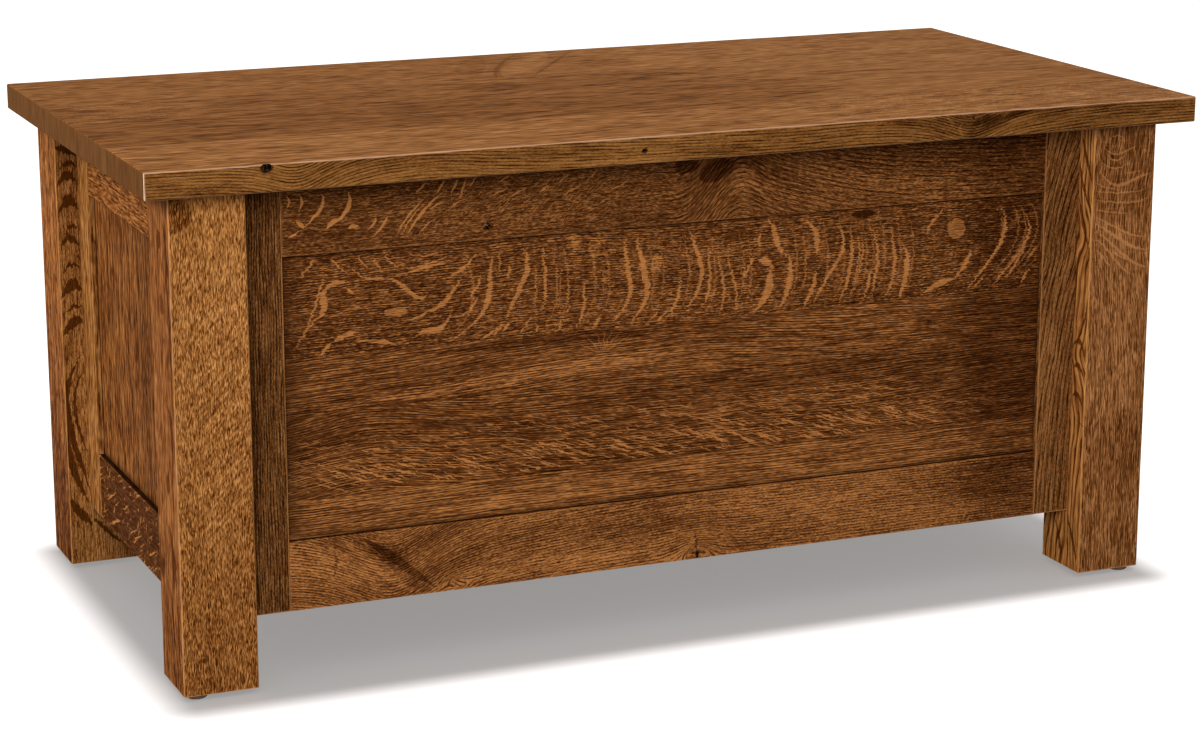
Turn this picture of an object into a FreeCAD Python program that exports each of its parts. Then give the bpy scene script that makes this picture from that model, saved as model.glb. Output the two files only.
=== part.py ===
import FreeCAD, Part
import math
import os
import Sketcher

# Blanket chest: a frame-and-panel case between four square oak legs, a cedar bottom on cleats,
# and a solid lid on three stop hinges.  Millimetres, +Z up, front at -Y, left at -X.  The origin
# lies on the floor, under the middle of the lid.

# ---------------------------------------------------------------- driving sizes
SIZES = (
    # the case over its legs
    ("case_length", 1270.0, "over the legs, left to right"),
    ("case_depth", 630.0, "over the legs, front to back"),
    ("leg_length", 582.0, "leg, above its glide"),
    ("leg_width", 88.9, "square leg"),
    ("leg_easing", 1.5, "flat on the long edges of a leg"),
    ("ground_clearance", 76.0, "under the frames, above the foot of a leg"),
    # glides under the legs
    ("glide_height", 6.0, "under the leg"),
    ("glide_radius", 12.5, "disc"),
    ("glide_easing", 1.5, "bevel round the foot of the disc"),
    ("glide_stem_radius", 3.0, "stem pressed into the leg"),
    ("glide_stem_length", 14.0, "stem above the disc"),
    ("glide_fit", 0.05, "play round the stem"),
    ("glide_from_side", 19.0, "middle of the glide from the outer side of the leg"),
    ("glide_from_end", 17.0, "middle of the glide from the front or back of the leg"),
    # frames of stiles and rails
    ("frame_thickness", 22.0, "stiles and rails"),
    ("front_inset", 32.0, "front frame behind the legs' front"),
    ("side_inset", 28.5, "side frame inside the legs' outer side"),
    ("front_stile_width", 50.0, "front and back stiles, as seen"),
    ("side_stile_width", 56.5, "side stiles, as seen"),
    ("top_rail_width", 86.0, "upper rails"),
    ("bottom_rail_width", 84.0, "lower rails"),
    ("tongue_thickness", 10.0, "tongue of a stile in its leg"),
    ("tongue_depth", 12.0, "tongue of a stile in its leg"),
    ("joint_play", 0.1, "round a tongue and at the end of a tenon"),
    ("groove_depth", 10.0, "panel groove, which also takes the tenons"),
    # panels
    ("panel_thickness", 9.5, "panel boards"),
    ("panel_recess", 7.0, "panel behind the face of its frame"),
    ("panel_play", 0.2, "each side of a panel in its groove"),
    ("panel_expansion", 1.5, "room for a panel at the bottom of its groove"),
    ("panel_board_1", 46.0, "lowest board of the front and back panels, as seen"),
    ("panel_board_2", 102.0, "second board of the front and back panels"),
    ("panel_board_3", 66.0, "third board of the front and back panels"),
    ("panel_narrow_board", 146.0, "front board of the side panels, as seen"),
    # cedar bottom
    ("cleat_width", 20.0, "square cleat inside each frame"),
    ("cleat_lift", 12.0, "cleat above the frames' lower edge"),
    ("bottom_thickness", 9.5, "cedar boards"),
    ("bottom_play", 1.0, "round the cedar boards and between them"),
    # lid
    ("lid_thickness", 31.75, "lid boards"),
    ("lid_side_overhang", 34.0, "past the legs at each side"),
    ("lid_front_overhang", 34.0, "past the legs in front"),
    ("lid_rear_overhang", 13.0, "past the legs behind"),
    ("lid_gap", 2.0, "lid above the case, held open by the bumpers"),
    ("lid_easing", 2.0, "rounding of the lid's outer edges"),
    ("lid_board_1", 166.0, "front board of the lid"),
    ("lid_board_2", 169.0, "second board of the lid"),
    ("lid_rear_board", 207.0, "rear board of the lid, which carries the hinges"),
    ("bumper_radius", 5.0, "bumper on a leg"),
    ("bumper_clearance", 0.3, "bumper under the closed lid"),
    # stop hinges
    ("hinge_from_leg", 116.1, "middle of an outer hinge from the leg beside it"),
    ("hinge_length", 76.0, "leaves and barrel"),
    ("hinge_end_play", 2.5, "room past each end of the barrel"),
    ("barrel_radius", 6.0, "knuckles"),
    ("barrel_clearance", 0.5, "barrel to the wood"),
    ("end_knuckle", 20.0, "each knuckle of the case leaf"),
    ("knuckle_gap", 0.3, "between two knuckles, and round a knuckle"),
    ("leaf_thickness", 2.0, "let into the wood"),
    ("leaf_depth", 18.0, "on the wood, across the hinge"),
    ("leaf_play", 0.1, "at each end of a leaf in its recess"),
    ("pin_radius", 3.0, "hinge pin"),
    ("pin_fit", 0.05, "pin in the knuckles"),
    ("pin_head_radius", 5.0, "head of the hinge pin"),
    ("pin_head_thickness", 1.5, "head of the hinge pin"),
    ("stop_length", 3.0, "stop lugs along the barrel"),
    ("opening_angle", 95.0, "where the lugs meet"),
    ("stop_slack", 0.5, "angle left between the lugs"),
    ("case_lug_start", 190.0, "case leaf's lug, angle from the back"),
    ("case_lug_angle", 70.0, "case leaf's lug"),
    ("lid_lug_angle", 104.0, "lid leaf's lug"),
    # screws
    ("screw_spacing", 26.0, "along a leaf"),
    ("screw_radius", 2.0, "shank"),
    ("screw_head_radius", 4.0, "countersunk head"),
    ("screw_length", 25.0, "under the face of the leaf"),
    ("screw_tip", 4.0, "pointed end"),
    ("screw_slot_width", 1.0, "driver slot"),
    ("screw_slot_depth", 0.8, "driver slot"),
    ("screw_fit", 0.05, "play round a screw"),
)

BOTTOM_BOARD_COUNT = 6
HINGES = (("hinge_left", -1), ("hinge_middle", 0), ("hinge_right", 1))
SCREWS_ALONG_LEAF = (-1, 0, 1)

doc = FreeCAD.newDocument("BlanketChest")
sheet = doc.addObject("Spreadsheet::Sheet", "Sizes")
for row, (alias, value, meaning) in enumerate(SIZES, start=1):
    sheet.set(f"A{row}", alias)
    sheet.set(f"B{row}", str(value))
    sheet.set(f"C{row}", meaning)
    sheet.setAlias(f"B{row}", alias)
doc.recompute()

# ---------------------------------------------------------------- places, as expressions of the sizes
LID_LENGTH = "(Sizes.case_length + 2 * Sizes.lid_side_overhang)"
LID_DEPTH = "(Sizes.case_depth + Sizes.lid_front_overhang + Sizes.lid_rear_overhang)"
CASE_SIDE = "(Sizes.case_length / 2)"
CASE_FRONT = f"(Sizes.lid_front_overhang - {LID_DEPTH} / 2)"
CASE_BACK = f"({LID_DEPTH} / 2 - Sizes.lid_rear_overhang)"
CASE_MIDDLE = f"(({CASE_FRONT} + {CASE_BACK}) / 2)"
CASE_TOP = "(Sizes.glide_height + Sizes.leg_length)"
LID_UNDERSIDE = f"({CASE_TOP} + Sizes.lid_gap)"
HALF_LEG = "(Sizes.leg_width / 2)"

FRAME_FOOT = "(Sizes.glide_height + Sizes.ground_clearance)"
FRAME_HEIGHT = "(Sizes.leg_length - Sizes.ground_clearance)"
TONGUE_SETBACK = "((Sizes.frame_thickness - Sizes.tongue_thickness) / 2)"
GROOVE_NEAR = "(Sizes.panel_recess - Sizes.panel_play)"
GROOVE_FAR = "(Sizes.panel_recess + Sizes.panel_thickness + Sizes.panel_play)"
PANEL_HOLD = "(Sizes.groove_depth - Sizes.panel_expansion)"
TENON = "(Sizes.groove_depth - Sizes.joint_play)"

HINGE_SETBACK = "(Sizes.barrel_radius + Sizes.barrel_clearance)"
HINGE_SPREAD = f"({CASE_SIDE} - Sizes.leg_width - Sizes.hinge_from_leg)"
HINGE_AXIS_Y = f"({CASE_BACK} + {HINGE_SETBACK})"
HINGE_AXIS_Z = f"({CASE_TOP} + Sizes.lid_gap / 2)"
SCREW_BACK = f"({HINGE_SETBACK} + Sizes.leaf_depth / 2)"

AXIS_X = FreeCAD.Vector(1, 0, 0)
AXIS_Y = FreeCAD.Vector(0, 1, 0)
AXIS_Z = FreeCAD.Vector(0, 0, 1)

subparts = []


# ---------------------------------------------------------------- helpers
def keep(piece, label):
    """Enter a finished sub-part under the label that names its file."""
    piece.Label = label
    subparts.append(piece)
    return piece


def keep_group(pieces, label):
    """Enter like pieces under one label, as separate solids."""
    group = doc.addObject("Part::Compound", label)
    group.Links = pieces
    return keep(group, label)


def move(piece, x, y, z, axis=AXIS_Z, degrees=0.0):
    """Give a piece its placement: a fixed turn, and a place bound to the sheet."""
    piece.Placement = FreeCAD.Placement(FreeCAD.Vector(), FreeCAD.Rotation(axis, degrees))
    piece.setExpression("Placement.Base.x", x)
    piece.setExpression("Placement.Base.y", y)
    piece.setExpression("Placement.Base.z", z)


def box(name, x, y, z, length, width, height):
    """A block with its low corner at x, y, z."""
    piece = doc.addObject("Part::Box", name)
    piece.setExpression("Length", length)
    piece.setExpression("Width", width)
    piece.setExpression("Height", height)
    move(piece, x, y, z)
    return piece


def cylinder(name, radius, height, x, y, z, axis=AXIS_Z, degrees=0.0):
    """A cylinder that starts at x, y, z and runs along +Z unless it is turned."""
    piece = doc.addObject("Part::Cylinder", name)
    piece.setExpression("Radius", radius)
    piece.setExpression("Height", height)
    move(piece, x, y, z, axis, degrees)
    return piece


def cone(name, low_radius, high_radius, height, x, y, z, axis=AXIS_Z, degrees=0.0):
    """A cone or frustum that starts at x, y, z and runs along +Z unless it is turned."""
    piece = doc.addObject("Part::Cone", name)
    piece.setExpression("Radius1", low_radius)
    piece.setExpression("Radius2", high_radius)
    piece.setExpression("Height", height)
    move(piece, x, y, z, axis, degrees)
    return piece


def fuse(name, pieces):
    """One solid made of the pieces."""
    joined = doc.addObject("Part::MultiFuse", name)
    joined.Shapes = pieces
    return joined


def cut(name, base, tools):
    """The base with every tool taken out of it."""
    result = doc.addObject("Part::Cut", name)
    result.Base = base
    result.Tool = tools[0] if len(tools) == 1 else fuse(name + "_tools", tools)
    return result


def new_body(name):
    """An empty PartDesign body."""
    return doc.addObject("PartDesign::Body", name)


def new_sketch(body, name, role, lift=None):
    """A sketch on one of the body's own origin planes, raised by an expression if one is given."""
    sketch = body.newObject("Sketcher::SketchObject", name)
    plane = next(item for item in body.Origin.OriginFeatures if item.Role == role)
    sketch.AttachmentSupport = [(plane, "")]
    sketch.MapMode = "FlatFace"
    if lift:
        sketch.setExpression("AttachmentOffset.Base.z", lift)
    return sketch


def bind_point(sketch, geometry, point, x, y):
    """Hold one point of a sketch at x, y, both bound to the sheet."""
    for kind, text in (("DistanceX", x), ("DistanceY", y)):
        index = sketch.addConstraint(Sketcher.Constraint(kind, -1, 1, geometry, point, 1.0))
        sketch.setExpression(f"Constraints[{index}]", text)


def draw_outline(sketch, corners):
    """A closed outline through the corners, each a pair of expressions, anticlockwise."""
    count = len(corners)
    first = sketch.GeometryCount
    turn = 2 * math.pi / count
    rough = [FreeCAD.Vector(math.cos(turn * i), math.sin(turn * i), 0) for i in range(count)]
    for i in range(count):
        sketch.addGeometry(Part.LineSegment(rough[i], rough[(i + 1) % count]))
    for i in range(count):
        following = first + (i + 1) % count
        sketch.addConstraint(Sketcher.Constraint("Coincident", first + i, 2, following, 1))
    for i, (x, y) in enumerate(corners):
        bind_point(sketch, first + i, 1, x, y)


def draw_rectangle(sketch, x_low, x_high, y_low, y_high):
    """A rectangle between four expressions."""
    draw_outline(sketch, ((x_low, y_low), (x_high, y_low), (x_high, y_high), (x_low, y_high)))


def draw_circle(sketch, x, y, radius):
    """A circle whose centre and radius are bound to the sheet."""
    circle = Part.Circle(FreeCAD.Vector(0, 0, 0), AXIS_Z, 1.0)
    geometry = sketch.addGeometry(circle)
    bind_point(sketch, geometry, 3, x, y)
    index = sketch.addConstraint(Sketcher.Constraint("Radius", geometry, 1.0))
    sketch.setExpression(f"Constraints[{index}]", radius)


def pad(body, name, sketch, length, symmetric=False):
    """Pad a sketch along its normal, or both ways from it."""
    feature = body.newObject("PartDesign::Pad", name)
    feature.Profile = sketch
    feature.setExpression("Length", length)
    if symmetric:
        feature.SideType = "Symmetric"
    return feature


def pocket(body, name, sketch, depth, upward=False):
    """Cut a sketch into the body, down from its plane or up from it."""
    feature = body.newObject("PartDesign::Pocket", name)
    feature.Profile = sketch
    feature.setExpression("Length", depth)
    feature.Reversed = upward
    return feature


def signed(sign, text):
    """The expression, or its negative."""
    return f"(-1 * {text})" if sign < 0 else text


# ---------------------------------------------------------------- legs and glides
def make_leg(label, side, end):
    """A square leg.  Its origin is the middle of its foot; side and end point to its outer corner."""
    body = new_body(label)
    half = HALF_LEG
    flat = "(Sizes.leg_width / 2 - Sizes.leg_easing)"
    section = new_sketch(body, label + "_section", "XY_Plane")
    draw_outline(section, (
        (signed(-1, flat), signed(-1, half)), (flat, signed(-1, half)),
        (half, signed(-1, flat)), (half, flat),
        (flat, half), (signed(-1, flat), half),
        (signed(-1, half), flat), (signed(-1, half), signed(-1, flat)),
    ))
    pad(body, label + "_post", section, "Sizes.leg_length")

    # Stopped grooves take the tongues of the two stiles, from the top down to the frames' foot.
    reach = "(Sizes.leg_width / 2 - Sizes.tongue_depth - Sizes.joint_play)"
    long_inset = "Sizes.front_inset" if end < 0 else "0"
    grooves = new_sketch(body, label + "_groove_lines", "XY_Plane", "Sizes.leg_length")
    for inset, along in ((long_inset, "x"), ("Sizes.side_inset", "y")):
        near = f"({half} - {inset} - {TONGUE_SETBACK} + Sizes.joint_play)"
        far = f"({half} - {inset} - {TONGUE_SETBACK} - Sizes.tongue_thickness - Sizes.joint_play)"
        if along == "x":
            draw_rectangle(grooves, signed(-side, half), signed(-side, reach),
                           signed(end, far), signed(end, near))
        else:
            draw_rectangle(grooves, signed(side, far), signed(side, near),
                           signed(-end, half), signed(-end, reach))
    pocket(body, label + "_grooves", grooves, FRAME_HEIGHT)

    stem_hole = new_sketch(body, label + "_stem_hole_line", "XY_Plane")
    draw_circle(stem_hole,
                signed(side, f"({half} - Sizes.glide_from_side)"),
                signed(end, f"({half} - Sizes.glide_from_end)"),
                "Sizes.glide_stem_radius + Sizes.glide_fit")
    pocket(body, label + "_stem_hole", stem_hole, "Sizes.glide_stem_length + Sizes.glide_fit", upward=True)

    across = f"({CASE_SIDE} - {half})"
    y_place = f"{CASE_FRONT} + {half}" if end < 0 else f"{CASE_BACK} - {half}"
    move(body, signed(side, across), y_place, "Sizes.glide_height")
    return keep(body, label)


def make_glide(label, side, end):
    """A turned nylon glide: a bevelled disc under the leg with a stem in it."""
    body = new_body(label)
    section = new_sketch(body, label + "_section", "XZ_Plane")
    foot = "(Sizes.glide_radius - Sizes.glide_easing)"
    tip = "(Sizes.glide_height + Sizes.glide_stem_length)"
    draw_outline(section, (
        ("0", "0"), (foot, "0"), ("Sizes.glide_radius", "Sizes.glide_easing"),
        ("Sizes.glide_radius", "Sizes.glide_height"), ("Sizes.glide_stem_radius", "Sizes.glide_height"),
        ("Sizes.glide_stem_radius", tip), ("0", tip),
    ))
    turned = body.newObject("PartDesign::Revolution", label + "_turned")
    turned.Profile = section
    turned.ReferenceAxis = (section, ["V_Axis"])
    turned.Angle = 360.0
    across = f"({CASE_SIDE} - Sizes.glide_from_side)"
    y_place = f"{CASE_FRONT} + Sizes.glide_from_end" if end < 0 else f"{CASE_BACK} - Sizes.glide_from_end"
    move(body, signed(side, across), y_place, "0")
    return keep(body, label)


# ---------------------------------------------------------------- frames and panels
LONG_SPAN = "(Sizes.case_length - 2 * Sizes.leg_width)"
SIDE_SPAN = "(Sizes.case_depth - 2 * Sizes.leg_width)"


class Frame:
    """One side of the case, seen from outside: u runs to the right, v up and w inwards."""

    def __init__(self, name, origin_x, origin_y, degrees, span, stile, ends):
        self.name = name
        self.origin_x = origin_x
        self.origin_y = origin_y
        self.degrees = degrees
        self.span = span
        self.stile = stile
        self.ends = ends
        self.cosine = round(math.cos(math.radians(degrees)))
        self.sine = round(math.sin(math.radians(degrees)))
        self.opening = f"({span} - 2 * {stile})"

    def place(self, piece, u, w, v):
        """Stand a piece in the frame: u from its middle, w from its outer face, v from its foot."""
        x = f"{self.origin_x} + ({u}) * ({self.cosine}) - ({w}) * ({self.sine})"
        y = f"{self.origin_y} + ({u}) * ({self.sine}) + ({w}) * ({self.cosine})"
        move(piece, x, y, f"{FRAME_FOOT} + {v}", AXIS_Z, self.degrees)


FRONT = Frame("front", "0", f"({CASE_FRONT} + Sizes.front_inset)", 0,
              LONG_SPAN, "Sizes.front_stile_width", ("left", "right"))
RIGHT = Frame("right", f"({CASE_SIDE} - Sizes.side_inset)", CASE_MIDDLE, 90,
              SIDE_SPAN, "Sizes.side_stile_width", ("front", "back"))
BACK = Frame("back", "0", CASE_BACK, 180,
             LONG_SPAN, "Sizes.front_stile_width", ("right", "left"))
LEFT = Frame("left", f"(Sizes.side_inset - {CASE_SIDE})", CASE_MIDDLE, -90,
             SIDE_SPAN, "Sizes.side_stile_width", ("back", "front"))


def make_stile(frame, end_name, side):
    """A stile with a tongue in its leg and a groove for the panel; side is -1 at the frame's low u."""
    label = f"{frame.name}_{end_name}_stile"
    body = new_body(label)
    width = frame.stile
    seat = f"({width} - Sizes.groove_depth)"
    tongue_far = f"({TONGUE_SETBACK} + Sizes.tongue_thickness)"
    corners = (
        ("0", "0"), (width, "0"), (width, GROOVE_NEAR), (seat, GROOVE_NEAR),
        (seat, GROOVE_FAR), (width, GROOVE_FAR), (width, "Sizes.frame_thickness"),
        ("0", "Sizes.frame_thickness"), ("0", tongue_far), ("(-1 * Sizes.tongue_depth)", tongue_far),
        ("(-1 * Sizes.tongue_depth)", TONGUE_SETBACK), ("0", TONGUE_SETBACK),
    )
    section = new_sketch(body, label + "_section", "XY_Plane")
    draw_outline(section, [(signed(-side, x), y) for x, y in corners])
    pad(body, label + "_length", section, FRAME_HEIGHT)
    frame.place(body, signed(side, f"({frame.span} / 2)"), "0", "0")
    return keep(body, label)


def make_rail(frame, which):
    """A rail with the panel groove along one edge and a stub tenon at each end."""
    label = f"{frame.name}_{which}_rail"
    body = new_body(label)
    upper = which == "top"
    width = "Sizes.top_rail_width" if upper else "Sizes.bottom_rail_width"
    seat = "Sizes.groove_depth" if upper else f"({width} - Sizes.groove_depth)"
    edge = "0" if upper else width
    thick = "Sizes.frame_thickness"
    notch = [(GROOVE_NEAR, edge), (GROOVE_NEAR, seat), (GROOVE_FAR, seat), (GROOVE_FAR, edge)]
    if upper:
        corners = [("0", "0")] + notch + [(thick, "0"), (thick, width), ("0", width)]
    else:
        corners = [("0", "0"), (thick, "0"), (thick, width)] + notch[::-1] + [("0", width)]
    section = new_sketch(body, label + "_section", "YZ_Plane")
    draw_outline(section, corners)
    pad(body, label + "_length", section, frame.opening, symmetric=True)

    tenon = new_sketch(body, label + "_tenon_lines", "YZ_Plane")
    panel_far = "(Sizes.panel_recess + Sizes.panel_thickness)"
    low = seat if upper else "0"
    high = width if upper else seat
    draw_rectangle(tenon, "Sizes.panel_recess", panel_far, low, high)
    pad(body, label + "_tenons", tenon, f"{frame.opening} + 2 * {TENON}", symmetric=True)

    lift = f"({FRAME_HEIGHT} - Sizes.top_rail_width)" if upper else "0"
    frame.place(body, "0", "0", lift)
    return body, label


def make_level_panel(frame):
    """A panel of four boards that run along the case, edge to edge; the top one makes up the height."""
    length = f"({frame.opening} + 2 * {PANEL_HOLD})"
    foot = f"(Sizes.bottom_rail_width - {PANEL_HOLD})"
    seam_1 = "(Sizes.bottom_rail_width + Sizes.panel_board_1)"
    seam_2 = f"({seam_1} + Sizes.panel_board_2)"
    seam_3 = f"({seam_2} + Sizes.panel_board_3)"
    head = f"({FRAME_HEIGHT} - Sizes.top_rail_width + {PANEL_HOLD})"
    edges = (foot, seam_1, seam_2, seam_3, head)
    for i in range(len(edges) - 1):
        label = f"{frame.name}_panel_board_{i + 1}"
        board = box(label, "0", "0", "0", length, "Sizes.panel_thickness", f"{edges[i + 1]} - {edges[i]}")
        frame.place(board, f"-1 * {length} / 2", "Sizes.panel_recess", edges[i])
        keep(board, label)


def make_upright_panel(frame):
    """A panel of two upright boards: a narrow one next to the front stile and a wide one."""
    half = f"({frame.opening} / 2 + {PANEL_HOLD})"
    seam = f"({frame.opening} / 2 - Sizes.panel_narrow_board)"
    foot = f"(Sizes.bottom_rail_width - {PANEL_HOLD})"
    height = f"{FRAME_HEIGHT} - Sizes.top_rail_width - Sizes.bottom_rail_width + 2 * {PANEL_HOLD}"
    front_side = -1 if frame.ends[0] == "front" else 1
    for name, near, far in (("narrow", seam, half), ("wide", signed(-1, half), seam)):
        label = f"{frame.name}_panel_{name}_board"
        board = box(label, "0", "0", "0", f"{far} - {near}", "Sizes.panel_thickness", height)
        low_u = near if front_side > 0 else signed(-1, far)
        frame.place(board, low_u, "Sizes.panel_recess", foot)
        keep(board, label)


def make_cleat(frame):
    """A cleat along the inside of a frame, between its two legs, that carries the bottom."""
    label = f"{frame.name}_cleat"
    length = f"({frame.span} - 2 * Sizes.joint_play)"
    cleat = box(label, "0", "0", "0", length, "Sizes.cleat_width", "Sizes.cleat_width")
    frame.place(cleat, f"-1 * {length} / 2", "Sizes.frame_thickness", "Sizes.cleat_lift")
    return keep(cleat, label)


def cut_hinge_recesses(rail, label):
    """Let the case leaves into the top of the back rail, and bore for their screws."""
    top = "Sizes.top_rail_width"
    recess_lines = new_sketch(rail, label + "_recess_lines", "XY_Plane", top)
    pilot_lines = new_sketch(rail, label + "_pilot_lines", "XY_Plane", top)
    for _, step in HINGES:
        middle = f"({step} * {HINGE_SPREAD})"
        reach = "(Sizes.hinge_length / 2 + Sizes.leaf_play)"
        draw_rectangle(recess_lines, f"{middle} - {reach}", f"{middle} + {reach}", "0", "Sizes.leaf_depth")
        for along in SCREWS_ALONG_LEAF:
            draw_circle(pilot_lines, f"{middle} + {along} * Sizes.screw_spacing", "Sizes.leaf_depth / 2",
                        "Sizes.screw_radius + Sizes.screw_fit")
    pocket(rail, label + "_recesses", recess_lines, "Sizes.leaf_thickness")
    pocket(rail, label + "_pilots", pilot_lines, "Sizes.screw_length + Sizes.screw_fit")


# ---------------------------------------------------------------- cedar bottom
def make_bottom():
    """Cedar boards from front to back on the cleats; the outer two are notched round the legs."""
    half_inside = f"({CASE_SIDE} - Sizes.side_inset - Sizes.frame_thickness)"
    front = f"({CASE_FRONT} + Sizes.front_inset + Sizes.frame_thickness + Sizes.bottom_play)"
    back = f"({CASE_BACK} - Sizes.frame_thickness - Sizes.bottom_play)"
    count = BOTTOM_BOARD_COUNT
    width = f"((2 * {half_inside} - {count + 1} * Sizes.bottom_play) / {count})"
    level = f"{FRAME_FOOT} + Sizes.cleat_lift + Sizes.cleat_width"
    notch_deep = "(Sizes.leg_width + Sizes.bottom_play)"
    notch_side = f"({CASE_SIDE} - Sizes.leg_width - Sizes.bottom_play)"
    for i in range(count):
        label = f"bottom_board_{i + 1}"
        low = f"({i} * ({width} + Sizes.bottom_play) + Sizes.bottom_play - {half_inside})"
        blank = box(label + "_blank", low, front, level, width, f"{back} - {front}", "Sizes.bottom_thickness")
        if 0 < i < count - 1:
            keep(blank, label)
            continue
        side = -1 if i == 0 else 1
        x_low = f"-1 * {CASE_SIDE}" if side < 0 else notch_side
        corners = []
        for name, y_low in (("front", CASE_FRONT), ("back", f"{CASE_BACK} - {notch_deep}")):
            corners.append(box(f"{label}_{name}_notch", x_low, y_low, level,
                               notch_deep, notch_deep, "Sizes.bottom_thickness"))
        keep(cut(label + "_notched", blank, corners), label)


# ---------------------------------------------------------------- lid
def edges_to_round(shape, front, back):
    """Names of a lid board's outer edges: round its two ends, and the front or back of the lid."""
    bounds = shape.BoundBox
    tolerance = 0.01
    names = []
    for index, edge in enumerate(shape.Edges, start=1):
        box_of_edge = edge.BoundBox
        middle = box_of_edge.Center
        at_end = min(abs(middle.x - bounds.XMin), abs(middle.x - bounds.XMax)) < tolerance
        outer = (front and abs(middle.y - bounds.YMin) < tolerance) \
            or (back and abs(middle.y - bounds.YMax) < tolerance)
        runs_across = box_of_edge.YLength > tolerance
        if outer or (at_end and runs_across):
            names.append(f"Edge{index}")
    return names


def make_lid_board(label, low, high, front=False, back=False):
    """One board of the lid, from low to high behind the lid's front edge, with its edges eased."""
    body = new_body(label)
    section = new_sketch(body, label + "_section", "YZ_Plane")
    draw_rectangle(section, "0", f"{high} - {low}", "0", "Sizes.lid_thickness")
    plank = pad(body, label + "_plank", section, LID_LENGTH, symmetric=True)
    doc.recompute()
    eased = body.newObject("PartDesign::Fillet", label + "_eased")
    eased.Base = (plank, edges_to_round(plank.Shape, front, back))
    eased.setExpression("Radius", "Sizes.lid_easing")
    move(body, "0", f"{low} - {LID_DEPTH} / 2", LID_UNDERSIDE)
    keep(body, label)
    return body


def cut_lid_for_hinges(board, label):
    """Clear the barrels, let in the lid leaves and bore for their screws, from the underside."""
    depth = "Sizes.lid_rear_board"
    axis = f"({depth} - Sizes.lid_rear_overhang + {HINGE_SETBACK})"
    case_back = f"({axis} - {HINGE_SETBACK})"
    barrel_lines = new_sketch(board, label + "_barrel_lines", "XY_Plane")
    recess_lines = new_sketch(board, label + "_recess_lines", "XY_Plane")
    pilot_lines = new_sketch(board, label + "_pilot_lines", "XY_Plane")
    for _, step in HINGES:
        middle = f"({step} * {HINGE_SPREAD})"
        room = "(Sizes.hinge_length / 2 + Sizes.hinge_end_play)"
        reach = "(Sizes.hinge_length / 2 + Sizes.leaf_play)"
        draw_rectangle(barrel_lines, f"{middle} - {room}", f"{middle} + {room}",
                       case_back, f"{depth} + Sizes.lid_easing")
        draw_rectangle(recess_lines, f"{middle} - {reach}", f"{middle} + {reach}",
                       f"{case_back} - Sizes.leaf_depth", case_back)
        for along in SCREWS_ALONG_LEAF:
            draw_circle(pilot_lines, f"{middle} + {along} * Sizes.screw_spacing", f"{axis} - {SCREW_BACK}",
                        "Sizes.screw_radius + Sizes.screw_fit")
    pocket(board, label + "_barrel_room", barrel_lines, f"{HINGE_SETBACK} - Sizes.lid_gap / 2", upward=True)
    pocket(board, label + "_recesses", recess_lines, "Sizes.leaf_thickness", upward=True)
    pocket(board, label + "_pilots", pilot_lines, "Sizes.screw_length + Sizes.screw_fit", upward=True)


def make_lid():
    """Four boards glued edge to edge: the third makes up the depth, the last carries the hinges."""
    seam_1 = "Sizes.lid_board_1"
    seam_2 = "(Sizes.lid_board_1 + Sizes.lid_board_2)"
    seam_3 = f"({LID_DEPTH} - Sizes.lid_rear_board)"
    make_lid_board("lid_board_1", "0", seam_1, front=True)
    make_lid_board("lid_board_2", seam_1, seam_2)
    make_lid_board("lid_board_3", seam_2, seam_3)
    rear = make_lid_board("lid_board_4", seam_3, LID_DEPTH, back=True)
    cut_lid_for_hinges(rear, "lid_board_4")


def make_bumpers():
    """Soft discs on the heads of the four legs, just under the closed lid."""
    discs = []
    for side in (-1, 1):
        for end in (-1, 1):
            x = signed(side, f"({CASE_SIDE} - {HALF_LEG})")
            y = f"{CASE_FRONT} + {HALF_LEG}" if end < 0 else f"{CASE_BACK} - {HALF_LEG}"
            discs.append(cylinder(f"bumper_{len(discs) + 1}", "Sizes.bumper_radius",
                                  "Sizes.lid_gap - Sizes.bumper_clearance", x, y, CASE_TOP))
    return keep_group(discs, "lid_bumpers")


# ---------------------------------------------------------------- stop hinges
HALF_HINGE = "(Sizes.hinge_length / 2)"
LID_KNUCKLE_END = "(Sizes.hinge_length / 2 - Sizes.end_knuckle - Sizes.knuckle_gap)"
CASE_KNUCKLE_END = "(Sizes.hinge_length / 2 - Sizes.end_knuckle)"
BORE = "(Sizes.pin_radius + Sizes.pin_fit)"
CLEAR_OF_KNUCKLE = "(Sizes.barrel_radius + Sizes.knuckle_gap)"


def along_barrel(name, radius, start, end):
    """A cylinder on the hinge axis, from start to end along X."""
    return cylinder(name, radius, f"{end} - {start}", start, "0", "0", AXIS_Y, 90)


def stop_lug(name, start_angle, angle, start, end):
    """A sector of the barrel that stops the leaf; angles run from the back, over the top."""
    lug = along_barrel(name, "Sizes.barrel_radius", start, end)
    lug.setExpression("Angle", angle)
    to_barrel = FreeCAD.Rotation(AXIS_Y, 90)
    quarter = FreeCAD.Rotation(AXIS_Z, 90)
    lug.Placement = FreeCAD.Placement(FreeCAD.Vector(), to_barrel.multiply(quarter))
    lug_turn = doc.addObject("Part::Compound", name + "_turned")
    lug_turn.Links = [lug]
    lug_turn.Placement = FreeCAD.Placement(FreeCAD.Vector(), FreeCAD.Rotation(AXIS_X, 0))
    lug_turn.setExpression("Placement.Rotation.Angle", start_angle)
    return lug_turn


def leaf_screw_holes(name, low, flip):
    """Countersunk holes through a leaf; flip is True where the heads lie on its underside."""
    holes = []
    shank = "Sizes.screw_radius + Sizes.screw_fit"
    head = "Sizes.screw_head_radius + Sizes.screw_fit"
    for along in SCREWS_ALONG_LEAF:
        holes.append(cone(f"{name}_hole_{len(holes) + 1}", head if flip else shank, shank if flip else head,
                          "Sizes.leaf_thickness", f"{along} * Sizes.screw_spacing", f"-1 * {SCREW_BACK}", low))
    return holes


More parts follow.
